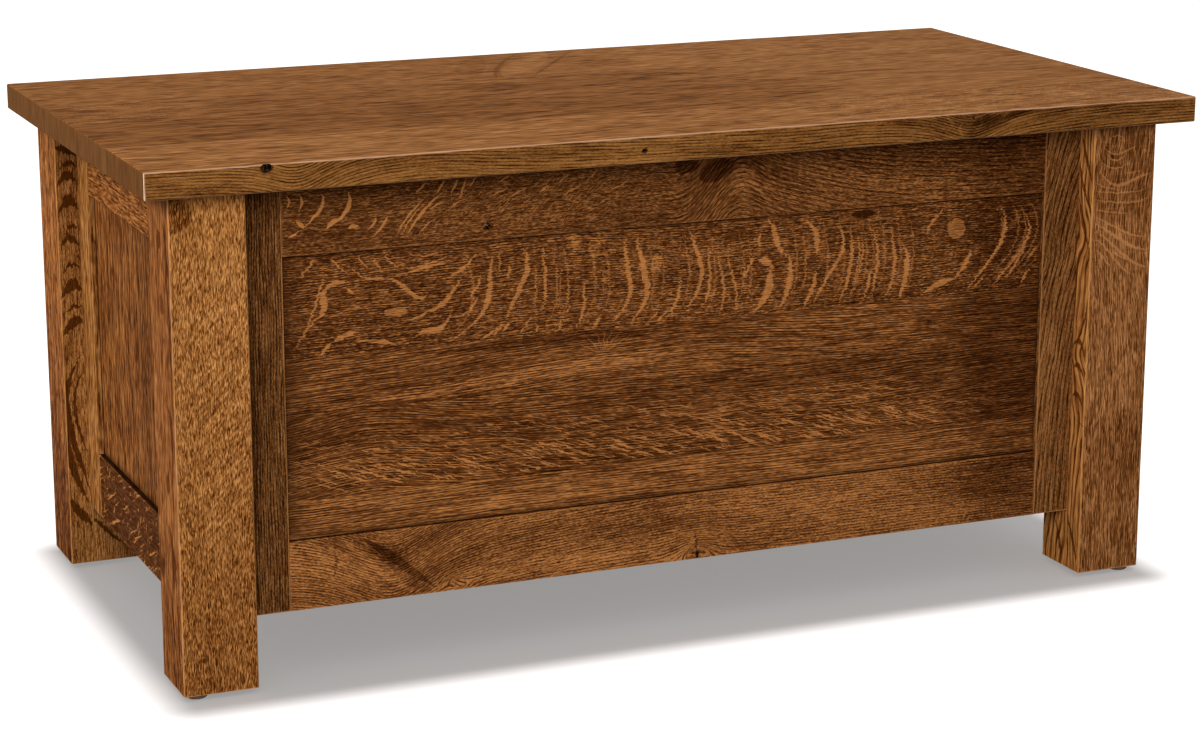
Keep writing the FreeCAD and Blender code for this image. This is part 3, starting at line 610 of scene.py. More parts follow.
@dataclass(frozen=True)
class Timber:
    """One face of a board: its stain, its grain and what is drawn in it.

    Strengths are steps of tone; a size is a length along the grain and one across it.

    Attributes:
        stain: Its colours.
        shade: Factor on the light that they give back.
        lift: How much paler the grain is as a whole.
        streak: Strength of the long streaks, which have streak_size.
        stitch: Strength of the short dashes, which have stitch_size.
        pore: Strength of the open pores, which have pore_size; more pore_cover leaves fewer.
        ring: Strength of the growth rings, which lie ring_width apart.
        broken: How much of a ring line is left on a pale streak.
        heart: Where the tree's heart lies: across the face and below it.
        taper: How much the rings' radius grows with each millimetre along the grain.
        ring_from: Where along the grain the rings begin, and where they are full.
        wave: Reach and length of the grain's slow waves.
        ripple: Reach and length of its ripples.
        blotch: Strength of the wide clouds.
        ragged: How far drawn figure is frayed along the grain.
        swells: Places where the grain rises.
        knots: Ovals that the grain passes round.
        strokes: Lines drawn on the grain.
        spots: Ovals drawn on it.
        flecks: Flecks strewn on it.
        foot: How much darker it is at the floor: painted shade, as the light falls off towards the floor.
        opening_shade: Share of painted shade, a dark colour, along the sides of an opening.
        opening_shade_reach: How far in from the low side it reaches.
        wear_and_highlight: Share of a paler line on the arrises: partly rubbed wood, partly painted
            highlight.
        rub_and_highlight: Colour of that line, if it isn't the pale stain's.
        rub_and_highlight_width: Width of that line.
        roughness: Roughness of the darkest and of the palest grain.
        sheen: Strength of the gloss.
        seed: Which noises it takes.
    """

    stain: Stain = BROWN
    shade: float = 1.0
    lift: float = 0.0
    streak: float = 0.44
    streak_size: Pair = (20.0, 1.5)
    stitch: float = 0.12
    stitch_size: Pair = (4.0, 1.0)
    pore: float = 0.16
    pore_size: Pair = (9.0, 1.0)
    pore_cover: float = 0.57
    ring: float = 0.16
    ring_width: float = 6.0
    broken: float = 0.5
    heart: Pair = (-200.0, 120.0)
    taper: float = 0.0
    ring_from: Optional[Pair] = None
    wave: Pair = (5.0, 170.0)
    ripple: Pair = (0.8, 30.0)
    blotch: float = 0.22
    ragged: float = 1.0
    swells: tuple[Swell, ...] = ()
    knots: tuple[Spot, ...] = ()
    strokes: tuple[Stroke, ...] = ()
    spots: tuple[Spot, ...] = ()
    flecks: tuple[Flecks, ...] = ()
    foot: float = 0.0
    opening_shade: float = 0.0
    opening_shade_reach: float = 44.0
    wear_and_highlight: float = 0.5
    rub_and_highlight: Optional[Triple] = None
    rub_and_highlight_width: float = 1.6
    roughness: Pair = (0.58, 0.42)
    sheen: float = 0.002
    seed: float = 0.0

    def noise(self, bench: Bench, place: Wire, size: Pair, layer: Layer, detail: float = 1.0,
              roughness: float = 0.5, colour: bool = False) -> Wire:
        """Make one of the face's noises, with lumps as deep as they are wide.

        Args:
            bench: Where the nodes go.
            place: Distances along, across and below the face.
            size: Length and width of a lump.
            layer: Which noise it is.
            detail: Finer layers on it.
            roughness: How strong the finer layers are.
            colour: Whether three noises are wanted, as a vector.

        Returns:
            The noise.
        """
        length, width = size
        return bench.noise(place, (length, width, width), self.seed + layer.value, detail, roughness, colour)

    def bent(self, bench: Bench, place: Wire) -> Wire:
        """Warp the grain by slow waves, ripples, swells and knots.

        Args:
            bench: Where the nodes go.
            place: Distances along, across and below the face.

        Returns:
            The warped place.
        """
        along, across, _ = bench.parts(place)
        shifts = [swell.rise(bench, along) for swell in self.swells]
        shifts += [knot.parting(bench, along, across) for knot in self.knots]
        for (reach, length), layer in ((self.wave, Layer.WAVES), (self.ripple, Layer.RIPPLES)):
            lump = self.noise(bench, place, (length, length / 3), layer, colour=True)
            moved = bench.stretch(lump, (0.0, 2 * reach, 2 * reach), (0.0, -reach, -reach))
            place = bench.add("ShaderNodeVectorMath", {0: place, 1: moved}, operation="ADD")
        if shifts:
            shift = shifts[0]
            for more in shifts[1:]:
                shift = shift + more
            moved = bench.vector(0.0, shift, 0.0)
            place = bench.add("ShaderNodeVectorMath", {0: place, 1: moved}, operation="SUBTRACT")
        return place

    def grain(self, bench: Bench, place: Wire) -> tuple[Wire, Wire]:
        """Build the tone of the grain alone, from DARK_TONE over PLAIN_TONE to PALE_TONE.

        Args:
            bench: Where the nodes go.
            place: The warped place.

        Returns:
            The tone, and the open pores as a mask.
        """
        streaks = self.noise(bench, place, self.streak_size, Layer.STREAKS, 1.5, 0.55)
        plain = PLAIN_TONE + self.lift
        tone = bench.step(streaks, *STREAK_LEVELS, plain - self.streak / 2, plain + self.streak * 0.42)
        stitches = self.noise(bench, place, self.stitch_size, Layer.STITCHES, 0.0)
        tone = tone + bench.step(stitches, *STITCH_LEVELS, -self.stitch / 2, self.stitch)
        pores = self.noise(bench, place, self.pore_size, Layer.PORES)
        pores = bench.step(pores, self.pore_cover, self.pore_cover + PORE_SOFTNESS)
        if self.ring:
            along, across, depth = bench.parts(place)
            v, w = across - self.heart[0], depth - self.heart[1]
            radius = bench.calc("SQRT", bench.fused(v, v, w * w))
            if self.taper:
                radius = bench.fused(along, self.taper, radius)
            phase = bench.calc("FRACT", radius * (1.0 / self.ring_width))
            line = bench.step(phase, *RING_RISE) * bench.step(phase, *RING_FALL)
            line = line * bench.step(streaks, *RING_LEVELS, RING_ON_DARK, self.broken)
            if self.ring_from:
                line = line * bench.step(along, *self.ring_from)
            tone = bench.fused(line, -self.ring, tone + self.ring * 0.25)
            pores = pores * bench.fused(line, 0.7, 0.5)
        blotches = self.noise(bench, place, BLOTCH_SIZE, Layer.BLOTCHES)
        tone = bench.fused(blotches - 0.5, self.blotch * 2, tone)
        return bench.fused(pores, -self.pore, tone), pores

    def drawn(self, bench: Bench, tone: Wire, place: Wire) -> Wire:
        """Add the strokes, spots and flecks.

        Args:
            bench: Where the nodes go.
            tone: The tone so far.
            place: Distances along, across and below the face.

        Returns:
            The new tone.
        """
        shapes = self.strokes + self.spots
        if not shapes and not self.flecks:
            return tone
        rows = self.noise(bench, place, FRAY_SIZE, Layer.FRAYING, 0.0)
        lumps = self.noise(bench, place, WANDER_SIZE, Layer.WANDERING)
        along, across, _ = bench.parts(place)
        along = along + bench.step(rows, *FRAY_LEVELS, -self.ragged, self.ragged)
        across = across + bench.step(lumps, *FRAY_LEVELS, -WANDER_REACH, WANDER_REACH)
        for strength in sorted({shape.tone for shape in shapes}):
            inside = bench.most(s.inside(bench, along, across) for s in shapes if s.tone == strength)
            tone = self.laid(bench, tone, bench.step(inside, -0.4, 0.5), strength)
        for flecks in self.flecks:
            tone = self.laid(bench, tone, flecks.mask(bench, along, across), flecks.tone)
        return tone

    def laid(self, bench: Bench, tone: Wire, mask: Wire, strength: float) -> Wire:
        """Lay a figure over the grain: a faint one shades the grain, a strong one covers most of it.

        Args:
            bench: Where the nodes go.
            tone: The tone so far.
            mask: 1 where the figure lies.
            strength: How much paler than the plain tone it is; less than 0 is darker.

        Returns:
            The new tone.
        """
        if abs(strength) < STRONG:
            return bench.fused(mask, strength, tone)
        wanted = PLAIN_TONE + CONTRAST * strength
        return bench.fused(mask, bench.fused(tone, -COVER, COVER * wanted), tone)

    def material(self, name: str, lie: Lie, whole: Optional[Block] = None) -> bpy.types.Material:
        """Make the material of the face.

        Args:
            name: Name of the material.
            lie: How the face lies.
            whole: The box whose arrises are rubbed and highlit, if it isn't the board's own.

        Returns:
            The material.
        """
        bench = Bench(name)
        plain = lie.coordinates(bench)
        tone, pores = self.grain(bench, self.bent(bench, plain))
        tone = self.drawn(bench, tone, plain)
        # Painted shade: darker towards the floor.
        if self.foot:
            along, _, _ = bench.parts(plain)
            tone = tone - bench.step(along, FOOT_REACH, 0.0, 0.0, self.foot)
        dark, pale = self.stain.dark, self.stain.pale
        stops = (
            (0.0, linear(dark, DEEPEST_SHADE * self.shade)),
            (DARK_TONE, linear(dark, self.shade)),
            (PLAIN_TONE, linear(self.stain.ground, self.shade)),
            (PALE_TONE, linear(pale, self.shade)),
            (1.0, linear(pale, PALEST_SHADE * self.shade)),
        )
        colour = bench.colours(tone, stops)
        # Painted shade along the sides of a panel's opening.
        if self.opening_shade:
            colour = self.with_opening_shade(bench, colour, plain, lie)
        # Paler arrises: partly rubbed wood, partly painted highlight.
        if self.wear_and_highlight:
            colour = self.rubbed_and_highlit(bench, colour, whole or lie.block)
        bench.surface(colour, bench.step(tone, 0.0, 1.0, *self.roughness))
        bench.relief(bench.fused(pores, -0.8, tone), depth=0.16, strength=0.45)
        bench.plain(Specular_IOR_Level=self.sheen)
        return bench.material

    def with_opening_shade(self, bench: Bench, colour: Wire, place: Wire, lie: Lie) -> Wire:
        """Paint shade along the sides of a panel's opening, where the stiles and rails shade it.

        Args:
            bench: Where the nodes go.
            colour: The colour so far.
            place: Distances along and across the face.
            lie: How the face lies in its opening.

        Returns:
            The darkened colour.
        """
        along, across, _ = bench.parts(place)
        size = lie.block.high - lie.block.low
        level, upright = (along, size[lie.along.axis] / 2), (across, size[lie.across.axis] / 2)
        if lie.along is Way.UP:
            level, upright = upright, level
        side, half_side = level
        height, half_height = upright
        from_side = half_side - abs(side - half_side)
        from_rail = half_height - abs(height - half_height)
        near = bench.most((
            bench.step(side, self.opening_shade_reach, -0.3 * self.opening_shade_reach),
            bench.step(from_side, STILE_REACH, FULL_DEPTH),
            bench.step(from_rail, RAIL_REACH, FULL_DEPTH),
        ))
        return bench.mix(near * self.opening_shade, colour, linear(OPENING_SHADE_COLOUR))

    def rubbed_and_highlit(self, bench: Bench, colour: Wire, block: Block) -> Wire:
        """Rub the stain thin along the arrises of a box and paint their highlight there: one paler line
        stands for both.

        Args:
            bench: Where the nodes go.
            colour: The colour so far.
            block: The box.

        Returns:
            The colour with its paler arrises.
        """
        low, high = block.low, block.high
        middle, half = (low + high) / 2, (high - low) / 2
        place = bench.here(middle)
        gaps = [float(size) - abs(part) for part, size in zip(bench.parts(place), half)]
        least = bench.calc("MINIMUM", gaps[0], gaps[1])
        most = bench.calc("MAXIMUM", gaps[0], gaps[1])
        from_arris = bench.calc("MAXIMUM", least, bench.calc("MINIMUM", most, gaps[2]))
        patches = self.noise(bench, place, ARRIS_PATCH_SIZE, Layer.ARRIS_PATCHES, 3.0, 0.7)
        width = self.rub_and_highlight_width
        uneven = bench.fused(patches - 0.5, 2.0 * width, from_arris)
        rubbed = bench.step(uneven, 1.3 * width, 0.5 * width)
        bare = linear(self.rub_and_highlight) if self.rub_and_highlight else linear(self.stain.pale, RUBBED_AND_HIGHLIT_SHADE * self.shade)
        return bench.mix(rubbed * self.wear_and_highlight, colour, bare)


# ------------------------------------------------------------------------------ other finishes
@dataclass(frozen=True)
class Metal:
    """Antiqued or plated steel, brushed one way, dull and rough in patches."""

    bright: Triple = (176, 160, 134)
    dull: Triple = (92, 78, 60)
    brush: Triple = (40.0, 0.25, 0.25)
    roughness: Pair = (0.48, 0.24)

    def material(self, name: str) -> bpy.types.Material:
        """Make the material.

        Args:
            name: Name of the material.

        Returns:
            The material.
        """
        bench = Bench(name)
        place = bench.here()
        lines = bench.noise(place, self.brush, 1.0, 2.0)
        patches = bench.noise(place, (9.0, 9.0, 9.0), 2.0, 3.0)
        amount = bench.step(patches + lines * 0.25, 0.48, 0.78)
        colour = bench.mix(amount, linear(self.dull), linear(self.bright))
        bench.surface(colour, bench.step(lines + patches, 0.6, 1.4, *self.roughness))
        bench.relief(lines, depth=0.05, strength=0.35)
        bench.plain(Metallic=1.0)
        return bench.material


@dataclass(frozen=True)
class Moulded:
    """Moulded nylon or soft rubber with a fine matt skin and a little scuffing; skin is its grain."""

    colour: Triple
    scuffed: Triple
    roughness: Pair = (0.44, 0.62)
    skin: float = 0.6

    def material(self, name: str) -> bpy.types.Material:
        """Make the material.

        Args:
            name: Name of the material.

        Returns:
            The material.
        """
        bench = Bench(name)
        place = bench.here()
        skin = bench.noise(place, (self.skin,) * 3, 1.0, 2.0)
        scuffs = bench.step(bench.noise(place, (5.0, 2.0, 5.0), 2.0, 3.0, 0.7), 0.55, 0.68)
        colour = bench.mix(scuffs * 0.6, linear(self.colour), linear(self.scuffed))
        bench.surface(colour, bench.step(scuffs, 0.0, 1.0, *self.roughness))
        bench.relief(skin, depth=0.06, strength=0.4)
        return bench.material


# ------------------------------------------------------------------------------ boards as meshes
SAME_PLACE = 0.002 * MM
FLAT_ANGLE = math.radians(1.0)
SMOOTH_ANGLE = math.radians(35.0)
ARRIS_ANGLE = math.radians(40.0)
# A face looks some way when its normal has more than this share in that direction.
FACING_SHARE = 0.72
# How lumpy a pit's bowl is, and how fine the lumps are.
LUMPY, LUMP_FINENESS = 0.3, 1.6
# Seed of the uneven surfaces; without one they would differ from run to run.
UNEVEN_SEED = 1


@dataclass(frozen=True)
class Pit:
    """A knot hole or a check sunk in one face; glint is the tone of a painted glint in it, a paler spot."""

    along: float
    across: float
    half_length: float
    half_width: float
    depth: float
    glint: float = 0.0

    def bowl(self, lie: Lie) -> bpy.types.Mesh:
        """Make the lumpy bowl that is cut out.

        Args:
            lie: How the face lies.

        Returns:
            The bowl's mesh, in metres.
        """
        shape = bmesh.new()
        bmesh.ops.create_icosphere(shape, subdivisions=3, radius=1.0)
        sizes = ((lie.along, self.along, self.half_length), (lie.across, self.across, self.half_width))
        for vertex in shape.verts:
            spot = vertex.co * LUMP_FINENESS + Vector((self.along, self.across, 0.0))
            lump = 1.0 + LUMPY * noise.noise(spot)
            place = Vector((0.0, 0.0, 0.0))
            for (way, middle, half), part in zip(sizes, vertex.co):
                place[way.axis] = lie.block.start(way) + way.sign * (middle + part * half * lump)
            place[lie.facing.axis] = lie.block.side(lie.facing) + vertex.co.z * self.depth * lump
            vertex.co = place * MM
        bmesh.ops.recalc_face_normals(shape, faces=shape.faces)
        mesh = bpy.data.meshes.new("pit")
        shape.to_mesh(mesh)
        shape.free()
        return mesh


@dataclass
class Board:
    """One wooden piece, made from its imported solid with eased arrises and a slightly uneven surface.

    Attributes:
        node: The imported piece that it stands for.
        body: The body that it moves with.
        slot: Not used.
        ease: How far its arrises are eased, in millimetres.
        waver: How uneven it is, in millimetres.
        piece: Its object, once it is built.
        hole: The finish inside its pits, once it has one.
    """

    node: str
    body: str
    slot: str
    ease: float = 0.6
    waver: float = 0.10
    piece: Optional[bpy.types.Object] = field(default=None, init=False)
    hole: Optional[bpy.types.Material] = field(default=None, init=False)

    @property
    def block(self) -> Block:
        """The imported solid's box."""
        return Block.around(self.node)

    def build(self) -> None:
        """Make the mesh, put it on its body and let it stand for its node."""
        shape = bmesh.new()
        shape.from_mesh(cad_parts[self.node].data)
        bmesh.ops.remove_doubles(shape, verts=shape.verts, dist=SAME_PLACE)
        bmesh.ops.dissolve_limit(shape, angle_limit=FLAT_ANGLE, verts=shape.verts, edges=shape.edges)
        self.ease_arrises(shape)
        self.cut_across(shape)
        self.make_uneven(shape)
        for edge in shape.edges:
            edge.smooth = len(edge.link_faces) == 2 and edge.calc_face_angle() < SMOOTH_ANGLE
        mesh = bpy.data.meshes.new(self.node + "_wood")
        shape.to_mesh(mesh)
        shape.free()
        mesh.shade_smooth()
        self.piece = bpy.data.objects.new(self.node + "_wood", mesh)
        bpy.context.scene.collection.objects.link(self.piece)
        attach(self.piece, self.body)
        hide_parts(self.node)

    def ease_arrises(self, shape: bmesh.types.BMesh) -> None:
        """Round every sharp outer edge that is long enough.

        Args:
            shape: The board's shape so far.
        """
        shortest = 1.2 * self.ease * MM
        sharp = [
            edge for edge in shape.edges
            if len(edge.link_faces) == 2 and edge.is_convex
            and edge.calc_face_angle() > ARRIS_ANGLE and edge.calc_length() > shortest
        ]
        bmesh.ops.bevel(shape, geom=sharp, offset=self.ease * MM, offset_type="OFFSET", segments=2,
                        profile=0.5, affect="EDGES", clamp_overlap=True)

    def cut_across(self, shape: bmesh.types.BMesh, spacing: float = 60.0) -> None:
        """Cut the faces across the board's length at even steps, so that it can waver.

        Args:
            shape: The board's shape so far.
            spacing: Least distance of the cuts, in millimetres.
        """
        block = self.block
        size = block.high - block.low
        axis = max(range(3), key=lambda i: size[i])
        normal = Vector([float(i == axis) for i in range(3)])
        count = int(size[axis] / spacing)
        for index in range(1, count):
            place = block.low[axis] + size[axis] * index / count
            everything = shape.verts[:] + shape.edges[:] + shape.faces[:]
            bmesh.ops.bisect_plane(shape, geom=everything, dist=1e-7, plane_co=normal * place * MM,
                                   plane_no=normal)

    def make_uneven(self, shape: bmesh.types.BMesh, length: float = 110.0) -> None:
        """Move the surface by a slow noise, alike on neighbouring boards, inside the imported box.

        Args:
            shape: The board's shape so far.
            length: Length of the noise's lumps, in millimetres.
        """
        low, high = PACKED_BOX
        for vertex in shape.verts:
            place = vertex.co + noise.noise_vector(vertex.co / (length * MM)) * (self.waver * MM)
            vertex.co = [min(max(part, least), most) for part, least, most in zip(place, low, high)]

    def pit(self, hollow: Pit, lie: Lie) -> None:
        """Sink a knot hole or a check in the piece.

        Args:
            hollow: The pit.
            lie: How the face lies that it is sunk in.
        """
        if self.hole is None:
            # A painted glint: a small paler spot in the hole, with the pit's glint tone.
            glint = Spot(hollow.along, hollow.across + 1.0, 0.9, 1.5, hollow.glint)
            dark = Timber(stain=PIT_INSIDE, streak=0.2, lift=-0.1, blotch=0, ring=0, wear_and_highlight=0, spots=(glint,))
            self.hole = dark.material(self.node + "_hole", lie)
        tool = bpy.data.objects.new("pit", hollow.bowl(lie))
        tool.data.materials.append(self.hole)
        bpy.context.scene.collection.objects.link(tool)
        cut = self.piece.modifiers.new("pit", "BOOLEAN")
        cut.operation = "DIFFERENCE"
        cut.solver = "EXACT"
        cut.material_mode = "TRANSFER"
        cut.object = tool
        graph = bpy.context.evaluated_depsgraph_get()
        carved = bpy.data.meshes.new_from_object(self.piece.evaluated_get(graph), depsgraph=graph)
        self.piece.modifiers.remove(cut)
        plain = self.piece.data
        self.piece.data = carved
        bpy.data.meshes.remove(plain)
        bpy.data.meshes.remove(tool.data)
        LOG.info("%s: pit at %.0f along, %.0f across", self.node, hollow.along, hollow.across)

    def dress(self, main: bpy.types.Material, faces: Optional[dict[Way, bpy.types.Material]] = None) -> None:
        """Put the finishes on the piece, and level its shading.

        Args:
            main: The finish all over.
            faces: Another finish for the faces that look some ways.
        """
        mesh = self.piece.data
        hollows = [polygon.index for polygon in mesh.polygons
                   if self.hole and mesh.materials[polygon.material_index] == self.hole]
        mesh.materials.clear()
        mesh.materials.append(main)
        for polygon in mesh.polygons:
            polygon.material_index = 0
        for index, (way, material) in enumerate((faces or {}).items(), 1):
            mesh.materials.append(material)
            for polygon in mesh.polygons:
                if polygon.normal[way.axis] * way.sign > FACING_SHARE:
                    polygon.material_index = index
        if hollows:
            mesh.materials.append(self.hole)
            for index in hollows:
                mesh.polygons[index].material_index = len(mesh.materials) - 1
        weighted = self.piece.modifiers.new("level faces", "WEIGHTED_NORMAL")
        weighted.keep_sharp = True
        LOG.info("%s: %d faces, %s", self.piece.name, len(mesh.polygons), main.name)


def put_on(node: str, material: bpy.types.Material) -> None:
    """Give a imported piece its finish.

    Args:
        node: Name of the piece.
        material: The finish.
    """
    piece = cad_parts[node]
    piece.data.materials.clear()
    piece.data.materials.append(material)
    LOG.info("%s: %s", node, material.name)


# ------------------------------------------------------------------------------ figure of this chest
QUARTERED = Timber(
    stain=BROWN, ring=0.26, ring_width=2.7, broken=0.7, streak=0.32, streak_size=(52, 1.3), stitch=0.12,
    stitch_size=(8, 1.1), pore=0.12, pore_size=(16, 1.1), blotch=0.12, opening_shade=0.75, wear_and_highlight=0)

RAY_FLECKS = (
    *strokes(
        3, ((52, 311), (40, 275), (27, 245)), ((568, 216), (571, 239), (564, 269), (559, 299)),
        ((973, 249), (981, 259), (989, 269))),
    *strokes(
        7, ((68, 301), (53, 292), (50, 270), (30, 254)), ((160, 226), (187, 233), (200, 243), (208, 261)),
        ((273, 236), (280, 253), (292, 276), (294, 323)), ((641, 280), (628, 293), (620, 316), (612, 332)),
        ((653, 329), (669, 319), (678, 303), (679, 279))),
    *strokes(
        6, ((88, 239), (72, 236), (58, 229)), ((128, 297), (144, 290), (158, 277), (176, 276)),
        ((178, 256), (200, 269), (220, 296)), ((200, 218), (220, 226), (240, 246), (253, 269), (257, 316)),
        ((400, 216), (413, 229), (427, 239), (430, 256), (428, 286), (426, 326)),
        ((498, 226), (516, 239), (521, 263), (521, 289), (513, 316), (503, 329)),
        ((661, 216), (673, 239), (677, 263)), ((868, 232), (884, 250), (894, 271))),
    *strokes(
        5, ((90, 229), (112, 226), (140, 219)), ((573, 281), (579, 264), (585, 270), (596, 281)),
        ((676, 218), (688, 246), (709, 269), (713, 296), (703, 319)),
        ((708, 216), (721, 243), (726, 269), (724, 313)), ((771, 216), (784, 243), (785, 276), (779, 309)),
        ((829, 294), (836, 306), (853, 326)),
        ((883, 216), (906, 233), (919, 256), (939, 286), (944, 303), (929, 326))),
    *strokes(
        4, ((275, 284), (277, 295), (276, 304)), ((315, 238), (322, 259), (323, 283), (319, 326)),
        ((358, 216), (370, 236), (372, 256), (371, 276)), ((475, 216), (490, 236), (495, 253), (497, 273)),
        ((523, 226), (533, 246), (535, 276), (535, 306)), ((548, 216), (554, 243), (551, 269), (546, 296)),
        ((600, 316), (601, 303), (600, 292)), ((741, 216), (749, 236), (753, 259)),
        ((943, 226), (959, 249), (973, 273)), ((968, 219), (974, 233), (980, 240))),
    *strokes(
        8, ((427, 216), (443, 233), (452, 253), (453, 273), (445, 293), (440, 326)),
        ((628, 216), (638, 236), (643, 269), (641, 286)), ((793, 214), (803, 246), (804, 266), (796, 286)),
        ((826, 219), (843, 228), (871, 234))),
    Stroke(((593, 214), (606, 229), (614, 246), (613, 270)), 11),
    Stroke(((622, 268), (613, 277), (599, 279)), 9),
    *strokes(
        2.5, ((723, 216), (731, 243), (736, 269), (731, 309)),
        ((729, 226), (738, 259), (741, 286), (736, 306)), ((896, 219), (904, 226), (913, 236))),
    *strokes(
        4.5, ((753, 216), (759, 243), (762, 276), (749, 313)),
        ((923, 216), (946, 243), (966, 266), (976, 296), (963, 316))))
# Painted shade on the right end of the front's panel boards and rails.
SHADED = Spot(1010, 170, 130, 700, -0.16, soft=120.0)
RAY_SPOTS = (
    Spot(137, 259, 14, 5.5, 0.30), Spot(871, 298, 13, 13, 0.24), Spot(465, 285, 6, 16, 0.16),
    Spot(357, 322, 7, 12, 0.16), Spot(384, 314, 8, 12, 0.16), Spot(98, 240, 20, 10, 0.08),
    Spot(741, 327, 17, 4, -0.50), Spot(568, 313, 12, 5, -0.20),
)
SHORT_FLECKS = tuple(
    Stroke(((x, v), (x + 5, v + 7), (x + lean, v + 14)), width)
    for x, v, lean, width in ((382, 216, 9, 4), (337, 217, 6, 3), (306, 215, 4, 3), (258, 219, 12, 3),
                              (268, 222, 14, 3), (347, 236, 3, 2), (458, 218, 12, 3), (468, 217, 13, 3))
)
SWIRLS = (
    Stroke(((53, 296), (65, 299), (78, 298)), 7),
    *strokes(
        3, ((78, 293), (83, 288), (88, 283)), ((43, 329), (33, 321), (25, 308)),
        ((133, 299), (157, 305), (185, 310), (213, 317)), ((150, 247), (170, 252), (186, 262)),
        ((215, 245), (228, 254), (238, 268)), ((222, 262), (236, 278), (242, 296)),
        ((240, 216), (256, 224), (266, 232))),
    *strokes(4, ((200, 293), (220, 303), (233, 316), (238, 323)), ((43, 214), (52, 224), (60, 231))),
    *strokes(
        2.2, ((75, 329), (87, 311), (110, 300), (133, 299)), ((127, 329), (133, 316), (147, 309)),
        ((110, 326), (115, 316), (123, 306)), ((60, 331), (68, 318), (80, 307)),
        ((20, 235), (34, 252), (44, 262))),
    *strokes(
        2.5, ((147, 309), (173, 311), (203, 320)), ((262, 290), (265, 305), (262, 322)),
        ((284, 216), (296, 226), (304, 240))),
    *strokes(
        2, ((92, 330), (99, 318), (108, 310)), ((150, 328), (172, 322), (196, 328)),
        ((10, 222), (22, 236), (30, 246)), ((306, 244), (311, 270), (308, 300))),
    Stroke(((100, 270), (125, 273), (150, 266)), 2.5, 0.22),
    Stroke(((66, 262), (90, 268), (112, 262)), 2.2, 0.22),
    *strokes(
        1.8, ((336, 240), (342, 268), (340, 300)), ((392, 250), (397, 275), (394, 300)), tone=0.22),
)
FINE_LINES = tuple(
    Stroke(((x - lean, 214), (x - lean / 4, 240), (x, 272), (x - 3, 300), (x - 10, 331)), width, 0.22)
    for x, lean, width in (
        (232, 46, 3), (338, 26, 2.4), (352, 24, 2.2), (386, 26, 2.2), (404, 22, 2), (461, 24, 2.2),
        (474, 22, 2), (508, 22, 2.2), (543, 18, 2), (580, 14, 2), (590, 12, 2), (652, 20, 2.2),
        (664, 22, 2.2), (694, 24, 2.2), (717, 20, 2), (747, 18, 1.8), (756, 18, 1.8), (772, 20, 2.2),
        (794, 18, 2.2), (812, 16, 2))
)
LEANING_LINES = tuple(
    Stroke(((x - 62, 214), (x - 24, 244), (x, 276), (x + 2, 306), (x - 16, 332)), width, 0.22)
    for x, width in ((934, 2.4), (957, 2.2), (967, 2.2), (984, 2.4), (994, 2), (1004, 2))
)
BURST = tuple(
    Stroke(((394, 183), ((394 + x) / 2 + bow, (183 + v) / 2), (x, v)), 1.6, 0.22)
    for x, v, bow in ((366, 199, 0), (374, 208, 1), (386, 213, 2), (398, 214, 1), (410, 214, -1),
                      (424, 213, -2), (436, 206, -1), (352, 192, 0))
)


def front_panel() -> dict[str, Timber]:
    """Give the figure of the front panel's four boards, from the foot up.

    Returns:
        The timber of each board, by its node.
    """
    return {
        "front_panel_board_1": replace(
            QUARTERED, lift=0.03, wave=(3, 240), seed=31, swells=(Swell(300, 160, 5),), spots=(SHADED,)),
        "front_panel_board_2": replace(
            QUARTERED, lift=-0.1, seed=32, swells=(Swell(105, 95, 20), Swell(700, 300, -6)),
            spots=(SHADED,),
            flecks=(
                Flecks(30, 2, -21, 0.575, 0.42, (49, 80, 3), (-50, 900, 90), seed=4),
                Flecks(24, 1.7, -17, 0.59, 0.34, (60, 118, 14), (-50, 860, 90), seed=5))),
        "front_panel_board_3": replace(
            QUARTERED, lift=-0.06, seed=33, swells=(Swell(430, 240, 24),),
            strokes=BURST + (
                Stroke(((20, 156), (200, 160), (400, 174), (620, 178)), 18, 0.1),
                Stroke(((180, 205), (330, 208), (480, 205)), 12, -0.12)),
            spots=(Spot(70, 160, 16, 7, -0.09, soft=3), Spot(70, 160, 7, 3, -0.12, soft=2), SHADED)),
        "front_panel_board_4": replace(
            QUARTERED, lift=-0.105, streak=0.32, streak_size=(18, 1.3), stitch=0.16, stitch_size=(5, 1.2),
            seed=34, ragged=1.5, swells=(Swell(330, 200, 6),),
            strokes=RAY_FLECKS + SHORT_FLECKS + SWIRLS + FINE_LINES + LEANING_LINES,
            spots=RAY_SPOTS + (SHADED,),
            flecks=(Flecks(60, 2.4, 83, 0.58, 0.08, (214, 334, 6), (330, 975, 40), seed=8),)),
    }


FRONT_PITS = (
    ("front_top_rail", Pit(248, 16, 3, 4.5, 3, glint=0.5)),
    ("front_bottom_rail", Pit(518, 5, 2, 4, 3)),
    ("front_bottom_rail", Pit(207, 9, 2.2, 1.6, 2)),
    ("front_panel_board_4", Pit(741, 327, 13, 1.8, 1.6)),
)


